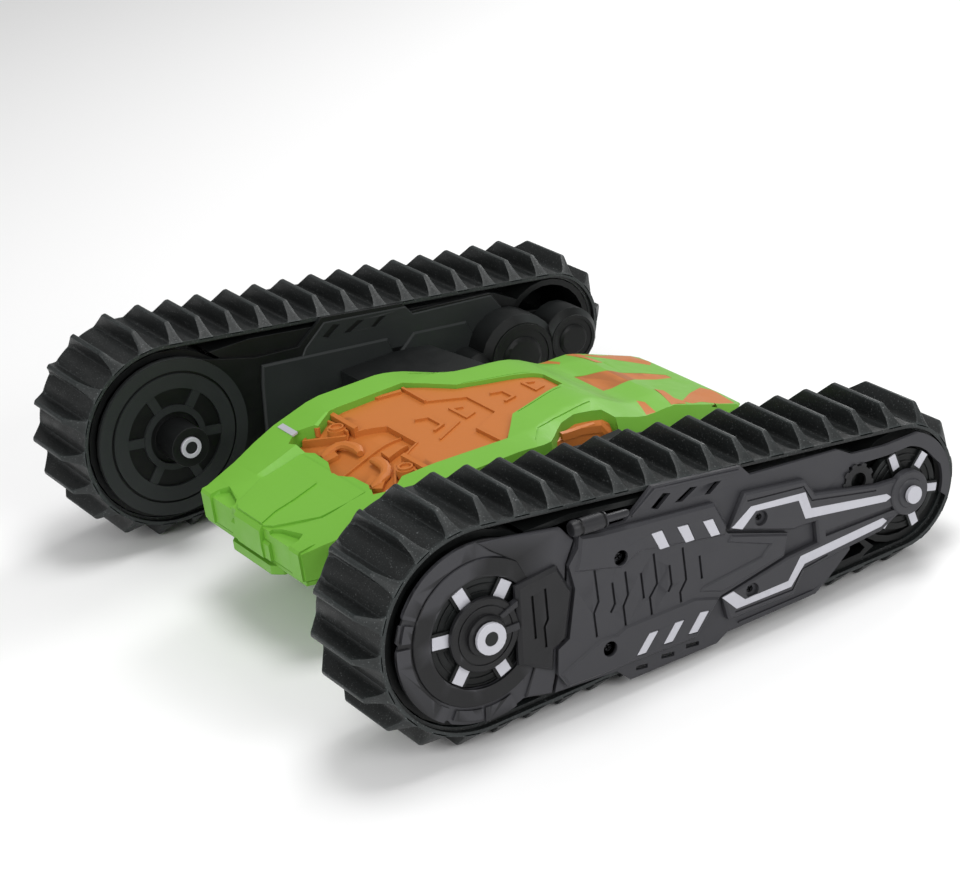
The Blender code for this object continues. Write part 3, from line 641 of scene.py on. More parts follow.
def hull_body():
    body = hull_solid()
    deck = both_halves(((11.8, -121.0), (16.4, -118.6), (27.4, -101.0), (28.3, -87.0), (28.6, -79.0)))
    wedge = both_halves(((11.0, -121.2), (6.5, -112.0), (1.2, -88.0)))
    band = ((-123.6, RIM_Z), (-123.9, 44.0), (-123.5, 50.6), (-122.0, 52.6), (-114.0, 53.6), (-112.0, RIM_Z))
    chin = ((-123.0, RIM_Z), (-123.0, 45.2), (-121.8, 46.4), (-112.0, 46.4), (-112.0, RIM_Z))
    block = ((-122.6, RIM_Z), (-122.7, 50.4), (-121.8, 51.9), (-116.0, 52.7), (-112.0, 52.7), (-112.0, RIM_Z))
    nose = [side_plate(outline, xs) for outline, xs in (
        (band, (-11.8, 11.8)), (chin, (-17.4, 17.4)), (block, (36.4, 45.2)), (block, (-45.2, -36.4)),
    )]
    body = join(body, drape(deck, -1.5, 1.0), drape(wedge, -1.0, 1.7), *nose)
    inside = box((-44, 44), (-106, 96), (RIM_Z - 9, RIM_Z + 6))
    cutters = [drape(HOOD, BAY, 9.0, deck_z), drape(TAIL, -0.9, 9.0), inside]
    for sign in (1, -1):
        cutters += [drape(sided(outline, sign), -0.5, 5.0) for outline in (STRIPE, Y_MARK, CORNER)]
        cutters.append(drape(sided(stroke(SHOULDER_LINE, 0.7), sign), -0.5, 4.0))
        cutters.append(drape(sided(stroke(NECK_LINE, 0.5), sign), -0.4, 4.0))
        cutters.append(slab(sided(NOSE_NOTCH, sign), (50.4, 60.0)))
        cutters.append(slab(sided(VENT, sign), (48.5, 80.0)))
        cutters.append(side_plate(FLANK_GROOVE, sorted((sign * 49.0, sign * 70.0))))
    return cut(body, *cutters)


def hood_insert():
    """The orange insert: an engine bay, a plate above it and a neck above that, with raised marks."""
    inside = [(x * 0.995, y * 0.998) for x, y in HOOD]
    floor = drape(inside, BAY - 1.5, BAY + 0.5, deck_z)
    rear = ((44.6, -15.2), (35.8, -8.2), (23.8, 0.8), (10.4, 33.8), (7.9, 37.8))
    plate = both_halves(((12.5, -41.4), (20.5, -53.7), (43.4, -53.5)) + rear)
    neck = both_halves(((12.0, -0.8), (22.0, -16.4), (44.0, -16.0)) + rear[1:])
    shapes = [floor, drape(plate, BAY, PLATE, deck_z), drape(neck, PLATE - 0.5, NECK, deck_z)]
    for mark, level, height in (
        (stroke([(-8.5, -30.6), (-5.8, -24.7), (5.8, -24.7), (8.5, -30.6)], 1.5), PLATE, 1.2),
        (stroke([(-4.6, -7.4), (-6.8, -12.6), (6.8, -12.6), (4.6, -7.4)], 1.5), PLATE, 0.9),
        (stroke([(-6.4, 8.2), (-4.6, 14.0), (4.6, 14.0), (6.4, 8.2)], 1.6), NECK, 1.0),
        (stroke([(-3.6, 30.4), (-5.6, 25.4), (5.6, 25.4), (3.6, 30.4)], 1.3), NECK, 0.8),
        (stroke([(17.8, -33.3), (8.3, -17.5)], 0.9), PLATE, 0.8),
    ):
        shapes.append(drape(mark, level - 0.4, level + height, deck_z))
    bay_block = (
        (41.3, -71.9), (43.6, -69.0), (40.0, -64.0), (43.4, -57.0), (34.0, -56.0), (24.0, -56.2),
        (21.0, -58.9),
    )
    bay_rim = (
        (21.6, -59.0), (41.0, -71.0), (42.4, -68.4), (38.8, -64.0), (42.6, -57.2), (34.0, -56.6),
        (24.0, -56.8),
    )
    for sign in (1, -1):
        bars = (
            (stroke([(20.5, -54.2), (43.2, -54.0)], 2.0), BAY, -0.3),
            (stroke([(12.9, -42.2), (20.8, -54.2)], 0.9), BAY, PLATE + 0.6),
            (stroke([(22.0, -16.7), (43.4, -16.3)], 1.2), PLATE - 0.4, NECK + 0.7),
            (((45.2, -31.0), (43.0, -17.5), (40.4, -18.5), (42.5, -30.0)), PLATE - 0.4, PLATE + 1.2),
            (((28.6, -70.6), (24.4, -66.2), (14.8, -67.6), (17.6, -74.6), (22.0, -73.6)), BAY, -3.0),
            (bay_block, BAY, -3.4), (stroke(bay_rim, 1.0), BAY, -1.6),
        )
        shapes += [drape(sided(outline, sign), low, high, deck_z) for outline, low, high in bars]
        top = deck_z(0, -57.8)
        hub = (sign * 30.5, -58.8)
        shapes.append(slab(circle(hub, 4.4, 28), (top + BAY, top - 1.2)))
        shapes.append(slab(circle(hub, 3.4, 28), (top + BAY, top - 0.2), (circle(hub, 2.6, 28),)))
        shapes.append(slab(circle((sign * 38.6, -64.5), 1.3, 20), (top + BAY, top - 1.4)))
        shapes.append(pipe(sign))
    shapes.append(drape(stroke([(-12.9, -42.2), (12.9, -42.2)], 0.9), BAY, PLATE + 0.6, deck_z))
    shapes.append(drape(stroke([(0.0, -78.2), (0.0, -43.0)], 0.9), BAY, BAY + 1.7, deck_z))
    shapes.append(drape(((5.2, -56.8), (13.4, -57.4), (12.0, -46.4)), BAY, -2.6, deck_z))
    return together(*shapes)


def pipe(sign, radius=2.7, steps=10):
    """A fat curved pipe in the bay, as a swept tube with domed ends."""
    route = (
        (5.0, -61.6), (9.0, -60.6), (14.0, -60.8), (18.6, -62.0), (21.6, -64.6), (22.6, -68.4), (22.2, -72.6),
    )
    bm = bmesh.new()
    rings = []
    for i, (x, y) in enumerate(route):
        before, after = Vector(route[max(i - 1, 0)]), Vector(route[min(i + 1, len(route) - 1)])
        along = (after - before).normalized()
        reach = radius * (0.62 if i in (0, len(route) - 1) else 1.0)
        level = deck_z(0, y) - 3.4
        spots = []
        for k in range(steps):
            angle = 2 * math.pi * k / steps
            offset = Vector((-along.y, along.x)) * math.cos(angle) * reach
            spots.append((sign * (x + offset.x), y + offset.y, level + math.sin(angle) * reach * 0.8))
        rings.append([bm.verts.new(spot) for spot in spots])
    capped_walls(bm, rings)
    return mesh_object(bm)


def vent_insert():
    """The scoop in the left shoulder: a sloping floor with a shelf along it."""
    inside = [(x - 0.1, y * 0.995) for x, y in VENT]
    floor = common(slab([(min(x, 56.0), y) for x, y in inside], (44.0, 64.0)), hull_inner(3.6))
    shelf = drape(stroke([(49.0, 9.5), (47.6, 20.0), (47.0, 31.5), (49.0, 35.0)], 1.6), -4.0, -0.7)
    return together(floor, shelf)


def hull_inner(inset):
    """The hull's loft drawn in on all sides."""
    inner = hull_solid()
    for vert in inner.data.vertices:
        vert.co.z -= inset
        vert.co.x -= math.copysign(min(inset * 0.8, abs(vert.co.x)), vert.co.x)
    return inner


def build_hull():
    place(hull_body(), "hull_body", "root", GREEN, ("hull_shell",), 0.45, 3, 28.0)
    place(hood_insert(), "hood_insert", "root", ORANGE, ("hood_panel",), 0.3)
    place(drape(TAIL, -1.6, -0.1), "tail_insert", "root", ORANGE, ("tail_panel",), 0.35)
    place(vent_insert(), "{side}_vent_insert", "root", ORANGE, ("{side}_vent_panel",), 0.3)
    marks = together(*(drape(outline, -1.2, 0.05) for outline in (STRIPE, Y_MARK, CORNER)))
    place(marks, "{side}_tail_marks", "root", ORANGE, (), 0.25)
    x, y = TICK_AT
    tick = drape(stroke([(x - TICK_LONG / 2, y), (x + TICK_LONG / 2, y)], 3.0), -0.6, 0.35)
    place(tick, "{side}_deck_bar", "root", SILVER, (), 0.2)


# Track pieces


SCREW_AT = ((-40.2, 61.0), (-50.4, 24.0), (28.5, 52.9), (20.5, 22.8))
SILL = [(-46.7, 10.9), (-40.9, 4.7), (2.4, 4.0), (8.2, 7.0), (54.3, 6.8), (61.3, 10.9), (74.0, 20.0)]
CREST = [(72.7, 66.8), (27.6, 71.8), (23.4, 77.2), (-19.9, 84.0), (-34.3, 73.7)]
SLASHES = (
    ((-21.6, 74.9), (-15.0, 79.2), (-11.4, 77.9), (-18.5, 73.3)),
    ((-10.1, 73.2), (-2.0, 77.0), (1.6, 76.1), (-6.4, 72.3)),
    ((4.4, 71.3), (10.1, 75.1), (13.4, 74.4), (7.2, 70.7)),
)
WINDOWS = (
    ((-24.8, 65.8), (-19.7, 65.5), (-17.0, 57.3), (-21.6, 57.7)),
    ((-12.3, 64.1), (-7.2, 63.4), (-4.8, 55.7), (-9.1, 56.0)),
    ((0.2, 61.9), (5.0, 61.4), (7.7, 53.5), (3.3, 54.0)),
    ((-31.3, 23.4), (-27.1, 23.0), (-34.2, 15.7), (-38.4, 16.1)),
    ((-18.5, 23.1), (-14.3, 22.7), (-20.9, 15.6), (-25.2, 16.0)),
    ((-6.0, 22.9), (-1.8, 22.1), (-8.5, 15.0), (-12.8, 15.6)),
)
FORK_LINES = (
    ((13.7, 53.9), (24.1, 59.9), (51.8, 56.2), (53.9, 48.0), (93.3, 40.1), (95.7, 37.8), (92.5, 36.8),
     (50.5, 44.4), (48.0, 53.7), (26.2, 57.0), (18.7, 51.5)),
    ((5.4, 25.1), (11.3, 25.8), (16.5, 20.2), (38.9, 20.0), (46.3, 28.7), (90.3, 30.0), (92.2, 27.9),
     (89.0, 26.4), (47.9, 24.5), (40.0, 16.8), (11.8, 17.6)),
)


def belt_frame():
    gap = Vector((REAR_HUB[0] - FRONT_HUB[0], REAR_HUB[1] - FRONT_HUB[1]))
    return gap, math.atan2(gap.y, gap.x), math.asin((FRONT_R - REAR_R) / gap.length)


def belt_length():
    gap, _, tilt = belt_frame()
    return 2 * gap.length * math.cos(tilt) + REAR_R * (math.pi - 2 * tilt) + FRONT_R * (math.pi + 2 * tilt)


def belt_point(distance, lift=0.0):
    """Place at a distance along the band, lifted off its outer surface, and the outward angle there."""
    gap, slope, tilt = belt_frame()
    run = gap.length * math.cos(tilt)
    top, bottom = slope + math.pi / 2 - tilt, slope - math.pi / 2 + tilt
    rear = REAR_R * (top - bottom)
    distance %= belt_length()
    if distance < run:
        share, angle = distance / run, top
        hub, radius = FRONT_HUB, FRONT_R + (REAR_R - FRONT_R) * share
        foot = (hub[0] + gap.x * share, hub[1] + gap.y * share)
    elif distance < run + rear:
        angle, foot, radius = top - (distance - run) / REAR_R, REAR_HUB, REAR_R
    elif distance < 2 * run + rear:
        share, angle = (distance - run - rear) / run, bottom
        foot = (REAR_HUB[0] - gap.x * share, REAR_HUB[1] - gap.y * share)
        radius = REAR_R + (FRONT_R - REAR_R) * share
    else:
        angle, foot, radius = bottom - (distance - 2 * run - rear) / FRONT_R, FRONT_HUB, FRONT_R
    reach = radius + lift
    return foot[0] + reach * math.cos(angle), foot[1] + reach * math.sin(angle), angle


def band(steps_per_tread=6):
    """The rubber band with a small rib between treads and a bead along both edges."""
    pitch = belt_length() / TREADS
    rows = []
    bm = bmesh.new()
    low, high = BELT_X
    for i in range(TREADS * steps_per_tread):
        distance = (i / steps_per_tread + TREAD_PHASE) * pitch
        rib = 0.55 if i % steps_per_tread == steps_per_tread // 2 else 0.0
        section = (
            (low, -EDGE), (low, 0.0), (low + 1.6, 0.0), (low + 2.2, rib - 0.25), (high - 2.2, rib - 0.25),
            (high - 1.6, 0.0), (high, 0.0), (high, -EDGE), (high - 2.6, -EDGE), (high - 2.8, -BAND),
            (low + 2.8, -BAND), (low + 2.6, -EDGE),
        )
        points = [(x, *belt_point(distance, lift)[:2]) for x, lift in section]
        rows.append([bm.verts.new(point) for point in points])
    walls(bm, rows + rows[:1])
    return mesh_object(bm)


def tread(number):
    """One tread: steep flanks, a rounded tip, and ends that lean in towards it and spread at the foot."""
    pitch = belt_length() / TREADS
    y, z, angle = belt_point((number + TREAD_PHASE) * pitch)
    out, along = Vector((0, math.cos(angle), math.sin(angle))), Vector((0, math.sin(angle), -math.cos(angle)))
    low, high = BELT_X
    bm = bmesh.new()
    rings = []
    for height, half, end_half, drawn in TREAD_SHAPE:
        corner = min(end_half * 0.5, 0.8)
        quarter = ((drawn, end_half - corner), (drawn + corner * 0.7, end_half), (drawn + TREAD_FOOT, half))
        near = [(high - inset, t) for inset, t in quarter]
        far = [(low + inset, t) for inset, t in reversed(quarter)]
        outline = far[::-1] + near[::-1] + [(x, -t) for x, t in near] + [(x, -t) for x, t in far]
        rings.append([bm.verts.new(Vector((x, y, z)) + out * height + along * t) for x, t in outline])
    capped_walls(bm, rings)
    return mesh_object(bm)


def build_belt():
    belt = together(band(), *(tread(number) for number in range(TREADS)))
    place(belt, "{side}_rubber_belt", TRACK, RUBBER, ("{side}_belt",), 0)


RIM_STEPS = (                   # first and last angle of each raised length of the rim, and its outer radius
    (86, 150, 38.3), (154, 166, 36.2), (170, 234, 38.3), (240, 262, 36.6), (264, 286, 38.3),
)


def front_cover():
    """The cover of the front wheel: a stepped rim, a groove, a sloping ring and a plain part at the back."""
    outer = PLATE_X[1]
    back = [(-78.0, 13.8), (-70.6, 33.0), (-63.9, 66.0), (-58.8, 75.0), (-64.0, 82.1)]
    plate = side_plate(arc(FRONT_HUB, 38.3, 68, 292, 64) + back, (PLATE_X[0], outer - 0.9),
                       (circle(FRONT_HUB, 23.2, 64),))
    web = panel([
        (-101.0, 89.4), (-90.5, 87.6), (-64.0, 82.1), (-58.8, 75.0), (-63.9, 66.0), (-70.6, 33.0),
        (-78.0, 13.8), (-90.0, 16.8), (-84.0, 28.0), (-80.0, 40.0), (-79.6, 60.0), (-86.0, 76.0),
        (-96.0, 84.0),
    ], (outer - 1.2, outer + 0.3), 0.5)
    slope = hoop([(outer + x, radius) for x, radius in (
        (-1.4, 23.4), (0.45, 23.4), (0.45, 24.6), (0.1, 30.6), (-0.5, 31.0), (-1.4, 31.0),
    )], FRONT_HUB)
    shapes = [slope, web]
    for first, last, radius in RIM_STEPS:
        band_ = side_plate(arc(FRONT_HUB, radius, first, last, 24) + arc(FRONT_HUB, 32.2, last, first, 24),
                           (outer - 1.2, outer + 0.1))
        shapes.append(band_)
    notches = [side_plate(circle(arc(FRONT_HUB, 39.6, angle, angle + 1, 2)[0], 2.6, 6), PAST_HUBS)
               for angle in (152, 168, 237)]
    return together(cut(plate, *notches), *shapes)


def drum_face(hub_at, radius, bore, ridges):
    """The closed web between a drum's spokes, with fine ridges."""
    face = span("left_front_drum", 0)[1]
    shapes = [ring((face - 5.0, face - 1.6), radius, bore, hub_at, 64)]
    shapes += [ring((face - 1.8, face - 1.1), r + 0.35, r - 0.35, hub_at, 64) for r in ridges]
    return together(*shapes)


HEX_PANEL = (
    (-92.0, 33.0), (-88.8, 66.6), (-69.2, 68.3), (-64.0, 55.5), (-69.5, 36.2), (-75.3, 33.5), (-77.0, 24.5),
)
HEX_LINES = (((-82.6, 60.6), (-83.6, 42.0)), ((-76.4, 61.4), (-77.0, 48.2), (-79.0, 45.4), (-79.4, 36.4)))
HUB_TABS = (
    ((-98.5, 49.4), (-90.0, 49.0), (-90.0, 52.0), (-98.5, 52.2)),
    ((-97.0, 56.4), (-89.6, 58.8), (-89.4, 61.2), (-98.0, 58.0)),
)


def slots_across(lines, width, top, depth):
    """Cutters for grooves that follow the lines."""
    return [side_plate(stroke(line, width), (top - depth, top + 4)) for line in lines]


def hub_arm():
    """The arm that carries the front wheel: a disc with a boss, and a panel with sloping edges."""
    low, top = ARMOR_X
    low += 0.1
    arm = cut(panel(HEX_PANEL, ARMOR_X, 1.5), *slots_across(HEX_LINES, 1.1, top, 1.1))
    disc_profile = ((low, 0.5), (low, 15.5), (top - 1.2, 15.5), (top - 0.6, 14.9), (top - 0.6, 0.5))
    boss_profile = [(top + x, r) for x, r in ((-1.0, 0.5), (-1.0, 8.8), (0.9, 8.6), (1.85, 7.7), (1.85, 0.5))]
    disc = join(turned(disc_profile, FRONT_HUB), turned(boss_profile, FRONT_HUB))
    tabs = [side_plate(outline, (low, top + 0.2)) for outline in HUB_TABS]
    bore = side_plate(circle(FRONT_HUB, 5.3, 32), PAST_HUBS)
    hub_line = ring((top - 1.1, top + 2), 12.6, 12.0, FRONT_HUB)
    return together(arm, cut(disc, bore, hub_line), *tabs)


def wells(numbers):
    """Cutters for the screws' recesses."""
    tools = []
    for number in numbers:
        at = SCREW_AT[number]
        tools.append(side_plate(circle(at, 3.3, 28), (ARMOR_X[0] + 1.2, 180)))
        tools.append(side_plate(circle(at, 1.6, 16), THROUGH))
    return tools


ARMOR_FIELD = (
    (-58.5, 72.0), (6.0, 62.0), (12.1, 51.8), (41.9, 40.8), (38.6, 31.4), (5.5, 25.8), (-8.8, 16.0),
    (-57.0, 16.0), (-71.6, 15.0), (-75.2, 22.0), (-73.6, 32.6), (-67.9, 35.2), (-62.3, 55.5), (-63.8, 66.0),
)
TOP_BAND = (
    (-59.6, 67.0), (-57.4, 76.8), (-48.4, 74.7), (7.2, 67.4), (12.0, 55.6), (10.6, 51.4), (-31.0, 59.8),
    (-40.0, 56.0), (-48.0, 58.6), (-62.0, 62.4),
)
LOW_BAND = (
    (-71.0, 15.0), (-74.2, 21.6), (-53.6, 29.6), (-46.0, 28.8), (-42.0, 30.6), (-7.2, 29.8), (4.8, 25.6),
    (-8.8, 12.2), (-57.0, 14.2),
)
TAIL_BAND = (
    (13.6, 50.6), (41.2, 40.6), (38.2, 31.8), (6.6, 27.4), (-4.4, 31.6), (-2.4, 33.4), (27.4, 35.8),
    (31.8, 39.4), (11.4, 48.0),
)
GROOVES = (                     # plain grooves and slots across the field
    ((-52.6, 60.0), (-52.6, 46.0), (-55.4, 41.6), (-55.4, 31.0)),
    ((-45.2, 51.6), (-45.2, 42.0), (-47.6, 39.0)),
    ((-38.6, 54.0), (-38.6, 43.6), (-41.4, 39.4), (-41.4, 30.4)),
    ((-31.4, 50.6), (-31.4, 39.0)),
    ((-24.4, 56.6), (-24.4, 43.0), (-28.6, 38.4), (-28.6, 30.4)),
    ((-17.6, 48.8), (-17.6, 40.0), (-19.6, 37.4)),
    ((-10.4, 54.0), (-10.4, 39.4), (-14.0, 35.0), (-14.0, 30.4)),
    ((-2.8, 47.4), (-2.8, 36.8)),
)


def armor_plate():
    """The long side armor: a low field with grooves, and raised bands above, below and behind it."""
    low, top = ARMOR_X
    level = top - 0.9
    grooves = slots_across(GROOVES, 1.15, level, 1.2)
    field = cut(side_plate(ARMOR_FIELD, (low, level)), *wells((0, 1)), *grooves)
    shapes = [field, panel(TAIL_BAND, (low + 0.2, top - 0.1), 0.7)]
    bands = ((TOP_BAND, 1.1, WINDOWS[:3], 0), (LOW_BAND, 0.9, WINDOWS[3:], 1))
    for outline, chamfer, windows, screw in bands:
        beds = [side_plate(grow(window, 0.5), (top - 0.5, top + 3)) for window in windows]
        shapes.append(cut(panel(outline, (low + 0.2, top), chamfer), *wells((screw,)), *beds))
    return together(*shapes)


def grow(outline, by):
    centre = [sum(v) / len(outline) for v in zip(*outline)]
    grown = []
    for point in outline:
        away = Vector(point) - Vector(centre)
        grown.append(tuple(Vector(centre) + away * (1 + by / away.length)))
    return grown


def outer_plate():
    ends = [(-57.0, 75.8), (-63.0, 66.0), (-70.0, 30.0), (-76.5, 13.5)]
    guard = arc(REAR_HUB, 19.4, 76, 30, 9) + arc(REAR_HUB, 21.2, 14, -22, 8)
    guard += arc(REAR_HUB, 25.4, -26, 66, 24)
    arm = [(77.4, 57.2), (98.0, 55.3)] + guard + [(97.0, 60.0), (79.5, 62.4)]
    plate = side_plate(SILL + [(77.4, 36.0)] + arm + CREST + ends, PLATE_X)
    slots = [side_plate(outline, THROUGH) for outline in SLASHES]
    slots += [side_plate(stroke(line, 1.9), THROUGH) for line in (
        ((-37.6, 8.6), (-32.0, 7.6)), ((-25.0, 8.8), (-18.6, 7.7)), ((-12.6, 8.6), (-6.2, 7.6)))]
    window = side_plate(((58.5, 33.0), (76.0, 33.4), (80.0, 43.0), (60.0, 46.5), (57.0, 40.0)), THROUGH)
    rails = [side_plate(stroke(line, width), (PLATE_X[1] - 0.2, PLATE_X[1] + 0.7)) for line, width in (
        (((-31.0, 75.0), (-19.0, 82.4), (22.2, 75.8)), 0.8),
        (((14.0, 9.2), (53.0, 8.8)), 0.7),
    )]
    return cut(join(plate, *rails), *slots, window)


FORK = (
    (13.0, 53.2), (22.2, 66.3), (52.6, 61.3), (56.9, 53.5), (89.0, 45.5), (99.3, 44.5), (99.3, 28.5),
    (89.0, 24.0), (48.0, 21.5), (41.4, 12.7), (7.7, 13.9), (6.0, 24.8), (40.2, 30.4), (56.0, 31.0),
    (56.0, 41.0), (43.6, 41.8),
)


def rear_fork():
    """The two arms that carry the rear wheel, with beds for the silver lines and a step along the top."""
    low, top = ARMOR_X
    arms = panel(FORK, ARMOR_X, 0.8)
    eye = turned((
        (low + 0.1, 0.5), (low + 0.1, 9.8), (top + 0.4, 9.8), (top + 1.0, 9.2), (top + 1.0, 6.6),
        (top + 1.7, 6.2), (top + 1.7, 0.5),
    ), REAR_HUB)
    neck = side_plate(((60.0, 35.4), (97.0, 33.4), (97.0, 31.4), (60.0, 32.6)), (top - 1.4, top + 3))
    bore = side_plate(circle(REAR_HUB, 2.8, 24), PAST_HUBS)
    beds = [side_plate(line, (top - 0.35, top + 3)) for line in FORK_LINES]
    steps = (
        ((22.6, 62.9), (51.0, 58.9), (54.6, 51.4), (88.0, 43.6)),
        ((11.0, 16.4), (40.6, 15.2), (46.4, 22.6), (60.0, 24.0)),
    )
    arms = cut(arms, neck, *beds, *slots_across(steps, 0.7, top, 0.7), *wells((2, 3)))
    return together(arms, cut(eye, bore))


def piston():
    head, neck, tip = (166.6, -62.0, 81.8), (166.6, -45.5, 80.4), (166.6, -34.8, 79.3)
    barrel = spun((
        (0, 1.5), (0.02, 2.9), (0.08, 3.4), (0.2, 3.4), (0.22, 3.0), (0.27, 3.0), (0.29, 3.4), (0.86, 3.4),
        (0.88, 2.9), (0.92, 2.9), (0.94, 3.4), (0.98, 3.2), (1, 1.4),
    ), head, neck)
    rod = spun(((0, 1.7), (0.9, 1.7), (1, 1.2)), (166.6, -46.0, 80.45), tip, 20)
    return together(barrel, rod)


def gear_motif():
    """The toothed sector and rings seen behind the fork, on the outer plate."""
    x = PLATE_X[1]
    teeth = []
    for i in range(18):
        teeth += arc((81.0, 49.6), 8.0 if i % 2 else 6.9, i * 20 - 8, i * 20 + 8, 3)
    sector = side_plate(teeth, (x - 0.3, x + 1.0), (circle((81.0, 49.6), 3.9, 24),))
    boss = ring((x - 0.3, x + 1.4), 5.4, 4.2, (69.0, 34.0))
    return together(sector, boss)


def inner_side():
    """Raised panels, a fin and the wheel cover's rings on the track's inner face."""
    face = INNER_FACE
    fin = (
        (-38.0, 62.0), (-31.3, 72.3), (-19.5, 81.6), (24.8, 75.4), (28.2, 70.6), (72.4, 66.0), (78.5, 56.0),
        (60.0, 50.0), (20.0, 56.0),
    )
    main = (
        (-57.0, 62.0), (-55.3, 71.6), (12.3, 63.2), (15.4, 50.4), (6.0, 30.0), (-8.0, 18.0), (-52.0, 19.0),
        (-60.0, 30.0),
    )
    rear = ((15.3, 52.2), (26.7, 61.4), (56.2, 57.6), (60.4, 47.0), (52.0, 40.0), (24.0, 41.0))
    low = ((6.0, 17.6), (14.0, 26.0), (44.0, 27.4), (50.0, 17.0), (42.0, 12.6), (12.0, 12.6))
    slashes = [side_plate(outline, THROUGH_INNER) for outline in SLASHES]
    shapes = [cut(inner_panel(fin, face, 0.8, 0.5), *slashes)]
    for outline, height in ((main, 1.9), (rear, 1.7), (low, 1.5)):
        shapes.append(inner_panel(outline, face, height, 0.9))
    for radius, inner, height in ((38.0, 32.0, 0.9), (30.8, 23.8, 1.4), (15.6, 12.6, 1.6), (8.6, 5.4, 1.9)):
        shapes.append(ring((face - height, face + 0.4), radius, inner, FRONT_HUB, 72))
    shapes.append(ring((face - 1.2, face + 0.4), 10.6, 7.4, REAR_HUB, 40))
    for angle in range(6):
        ends = [arc(FRONT_HUB, reach, angle * 60 + 51, 90, 2)[0] for reach in (15.0, 23.9)]
        shapes.append(side_plate(stroke(ends, 4.4), (face - 1.0, face + 0.4)))
    return together(*shapes)


def inner_panel(outline, face, height, chamfer):
    """A panel that faces the hull."""
    shape = panel(outline, (-face - 0.4, -face + height), min(chamfer, height - 0.1))
    for vert in shape.data.vertices:
        vert.co.x = -vert.co.x
    shape.data.flip_normals()
    return shape


def dome_rings():
    """Stepped rings on the gearbox's two round covers."""
    face = span("left_gearbox_cover", 0)[0]
    shapes = []
    for centre, radius in zip(DOME_AT, DOME_R):
        shapes.append(turned((
            (face - 1.4, 0.5), (face - 1.4, radius * 0.42), (face - 0.6, radius * 0.5),
            (face + 0.3, radius * 0.52), (face + 0.3, 0.5),
        ), centre, 40))
        shapes.append(ring((face - 0.5, face + 0.3), radius * 0.8, radius * 0.7, centre, 48))
    return together(*shapes)


def spoke_caps(hub, inner, outer, width, first):
    face = span("left_front_drum", 0)[1]
    bars = []
    for index in range(6):
        angle = math.radians(first + 60 * index)
        along = Vector((math.cos(angle), math.sin(angle)))
        ends = [tuple(Vector(hub) + along * reach) for reach in (inner, outer)]
        bars.append(side_plate(stroke(ends, width), (face - 1.2, face + 0.15)))
    return together(*bars)


def screw_head(number):
    """A cross-head case screw down in its recess."""
    at = SCREW_AT[number]
    top = ARMOR_X[0] + 0.6
    head = turned((
        (top - 7.0, 1.2), (top - 1.2, 1.2), (top - 1.2, 2.8), (top - 0.5, 2.8), (top - 0.1, 2.1), (top, 0.8),
    ), at, 24)
    lines = [((at[0] - y, at[1] - z), (at[0] + y, at[1] + z)) for y, z in ((1.6, 0.4), (-0.4, 1.6))]
    return cut(head, *slots_across(lines, 0.8, top, 0.9))


BORE_SHADE_X = (88.9, 169.0)           # dark discs just inside both ends of the front axle: painted shade in its bore


def build_track():
    build_belt()
    for make, name, bevel in (
        (front_cover, "front_cover", 0.3), (hub_arm, "hub_arm", 0.3), (armor_plate, "armor_plate", 0.25),
        (outer_plate, "outer_plate", 0.3), (rear_fork, "rear_fork", 0.3), (piston, "piston", 0),
    ):
        piece = "{side}_detailed_" + name
        place(make(), piece, TRACK, DARK, ("{side}_" + name,), bevel)
    place(gear_motif(), "{side}_gear_relief", TRACK, DARK, (), 0.2)
    top = ARMOR_X[1]
    windows = together(*(side_plate(outline, (top - 0.8, top + 0.15)) for outline in WINDOWS))
    place(windows, "{side}_windows", TRACK, SILVER, (), 0.15)
    lines = together(*(side_plate(outline, (top - 0.6, top + 0.15)) for outline in FORK_LINES))
    place(lines, "{side}_fork_lines", TRACK, SILVER, (), 0.15)
    # The inner faces and the gearbox covers' rings take the darker copy of the dark nylon: painted shade.
    place(inner_side(), "{side}_inner_panels", TRACK, DARK_IN_SHADE, (), 0.2)
    place(dome_rings(), "{side}_dome_rings", TRACK, DARK_IN_SHADE, (), 0.25)
    for end, at, inner, outer, width, first, radius, bore, ridges in (
        ("front", FRONT_HUB, 14.8, 22.5, 5.4, 51, 23.0, 9.5, (16.6, 19.6, 22.4)),
        ("rear", REAR_HUB, 11.2, 18.2, 3.6, 45, 18.0, 7.0, (12.4, 15.4)),
    ):
        wheel = "{side}_" + end + "_wheel"
        spokes = spoke_caps(at, inner, outer, width, first)
        place(spokes, "{side}_" + end + "_spokes", wheel, SILVER, (), 0.2)
        face = drum_face(at, radius, bore, ridges)
        # The drums' webs take the darker copy of the dark nylon: painted shade.
        place(face, "{side}_" + end + "_web", wheel, DARK_IN_SHADE, (), 0.15)
    # Painted shade: dark discs inside the front axle's bore.
    bore_shades = [turned(((x, 2.95), (x + 0.8, 2.95)), FRONT_HUB) for x in BORE_SHADE_X]
    place(together(*bore_shades), "{side}_axle_plugs", TRACK, DARK_IN_SHADE, (), 0)
    for number in range(4):
        name = f"{{side}}_cross_screw_{number + 1}"
        place(screw_head(number), name, TRACK, BLACK_STEEL, (f"{{side}}_screw_{number + 1}",), 0)


# Carried-over CAD nodes


LOOKS = {
    "shell_green": GREEN, "insert_orange": ORANGE, "frame_plastic": DARK, "belt_rubber": RUBBER,
    "silver_metal": SILVER,
    "steel": STEEL, "board_laminate": BOARD, "battery_wrap": WRAP, "gear_plastic": GEAR_WHITE,
}


# CAD parts inside the tracks, which get the darker copy of the dark nylon as painted shade.
PARTS_IN_SHADE = ("track_frame", "inner_plate", "gearbox_cover", "front_drum", "rear_drum", "bridge")


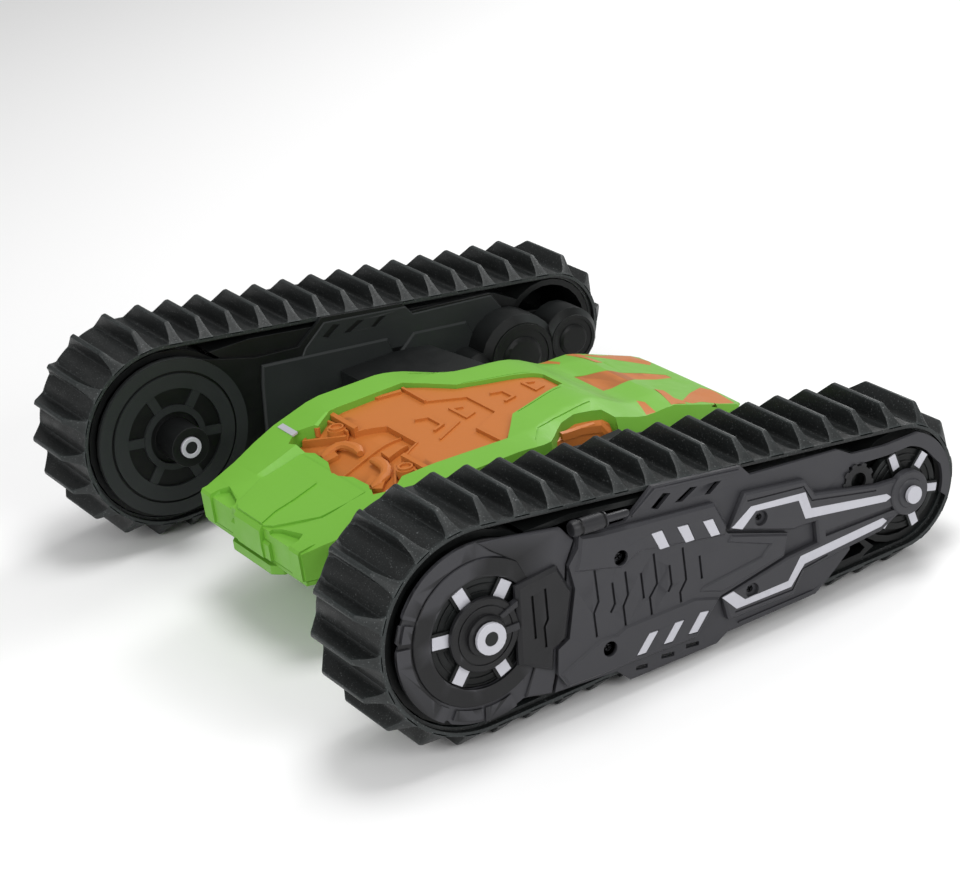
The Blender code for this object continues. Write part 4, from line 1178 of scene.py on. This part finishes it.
def dress_cad_nodes():
    for obj in frame["nodes"].values():
        look = LOOKS[obj.data.materials[0].name.split(".")[0]]
        # Painted shade: these parts swap the dark nylon for its darker copy.
        if look is DARK and obj.name.split("_", 1)[1] in PARTS_IN_SHADE:
            look = DARK_IN_SHADE
        obj.data.materials.clear()
        obj.data.materials.append(look)
        weld = obj.modifiers.new("weld", "WELD")
        weld.merge_threshold = 1e-6
        soften(obj, 0.25, 2, 32.0)


# Stage


CAMERA_AT = (0.9997, -0.5460, 0.5552)
CAMERA_RIGHT, CAMERA_BACK = (0.5321, 0.8365, -0.1312), (0.7952, -0.4405, 0.4166)
LENS, SHIFT = 104.07, (-0.0125, 0.0299)
FLOOR_GAP = 0.0002
AIM = (0, 0, 0.04)


def look_matrix():
    """The camera's axes as columns: right, up and backwards."""
    right, back = Vector(CAMERA_RIGHT), Vector(CAMERA_BACK)
    up = back.cross(right).normalized()
    right = up.cross(back).normalized()
    return Matrix((right, up, back.normalized())).transposed()


LIGHTS = (                      # name, place in metres, size in metres, power in watts
    ("front", (0.55, -1.1, 0.7), 0.7, 6.0),
    ("side", (1.3, 0.1, 0.7), 0.6, 7.0),
    ("top", (0.1, 0.2, 1.5), 0.6, 9.5),
    ("back", (-0.5, 1.0, 0.8), 0.5, 6.0),
)


def area_light(name, place_at, size, power):
    data = bpy.data.lights.new(name, "AREA")
    data.size = size
    data.energy = power
    lamp = bpy.data.objects.new(name, data)
    lamp.location = place_at
    lamp.rotation_euler = (Vector(AIM) - Vector(place_at)).to_track_quat("-Z", "Y").to_euler()
    bpy.context.scene.collection.objects.link(lamp)


def build_stage():
    scene = bpy.context.scene
    scene.view_settings.view_transform = "Standard"
    camera = bpy.data.objects.new("camera", bpy.data.cameras.new("camera"))
    camera.location = CAMERA_AT
    camera.rotation_euler = look_matrix().to_euler()
    camera.data.lens = LENS
    camera.data.shift_x, camera.data.shift_y = SHIFT
    scene.collection.objects.link(camera)
    scene.camera = camera
    bm = bmesh.new()
    bmesh.ops.create_grid(bm, x_segments=8, y_segments=8, size=4.0)
    floor = mesh_object(bm, "floor")
    floor.location.z = cad_low.z - FLOOR_GAP
    paper = bpy.data.materials.new("studio_paper")
    paper.use_nodes = True
    shader = paper.node_tree.nodes["Principled BSDF"]
    shader.inputs["Base Color"].default_value = (0.97, 0.97, 0.97, 1.0)
    shader.inputs["Roughness"].default_value = 0.9
    floor.data.materials.append(paper)
    world = bpy.data.worlds.new("studio")
    world.use_nodes = True
    world.node_tree.nodes["Background"].inputs["Color"].default_value = (1.0, 1.0, 1.0, 1.0)
    world.node_tree.nodes["Background"].inputs["Strength"].default_value = 0.34
    scene.world = world
    for name, at, size, power in LIGHTS:
        area_light(name, at, size, power)


dress_cad_nodes()
build_hull()
build_track()
build_stage()
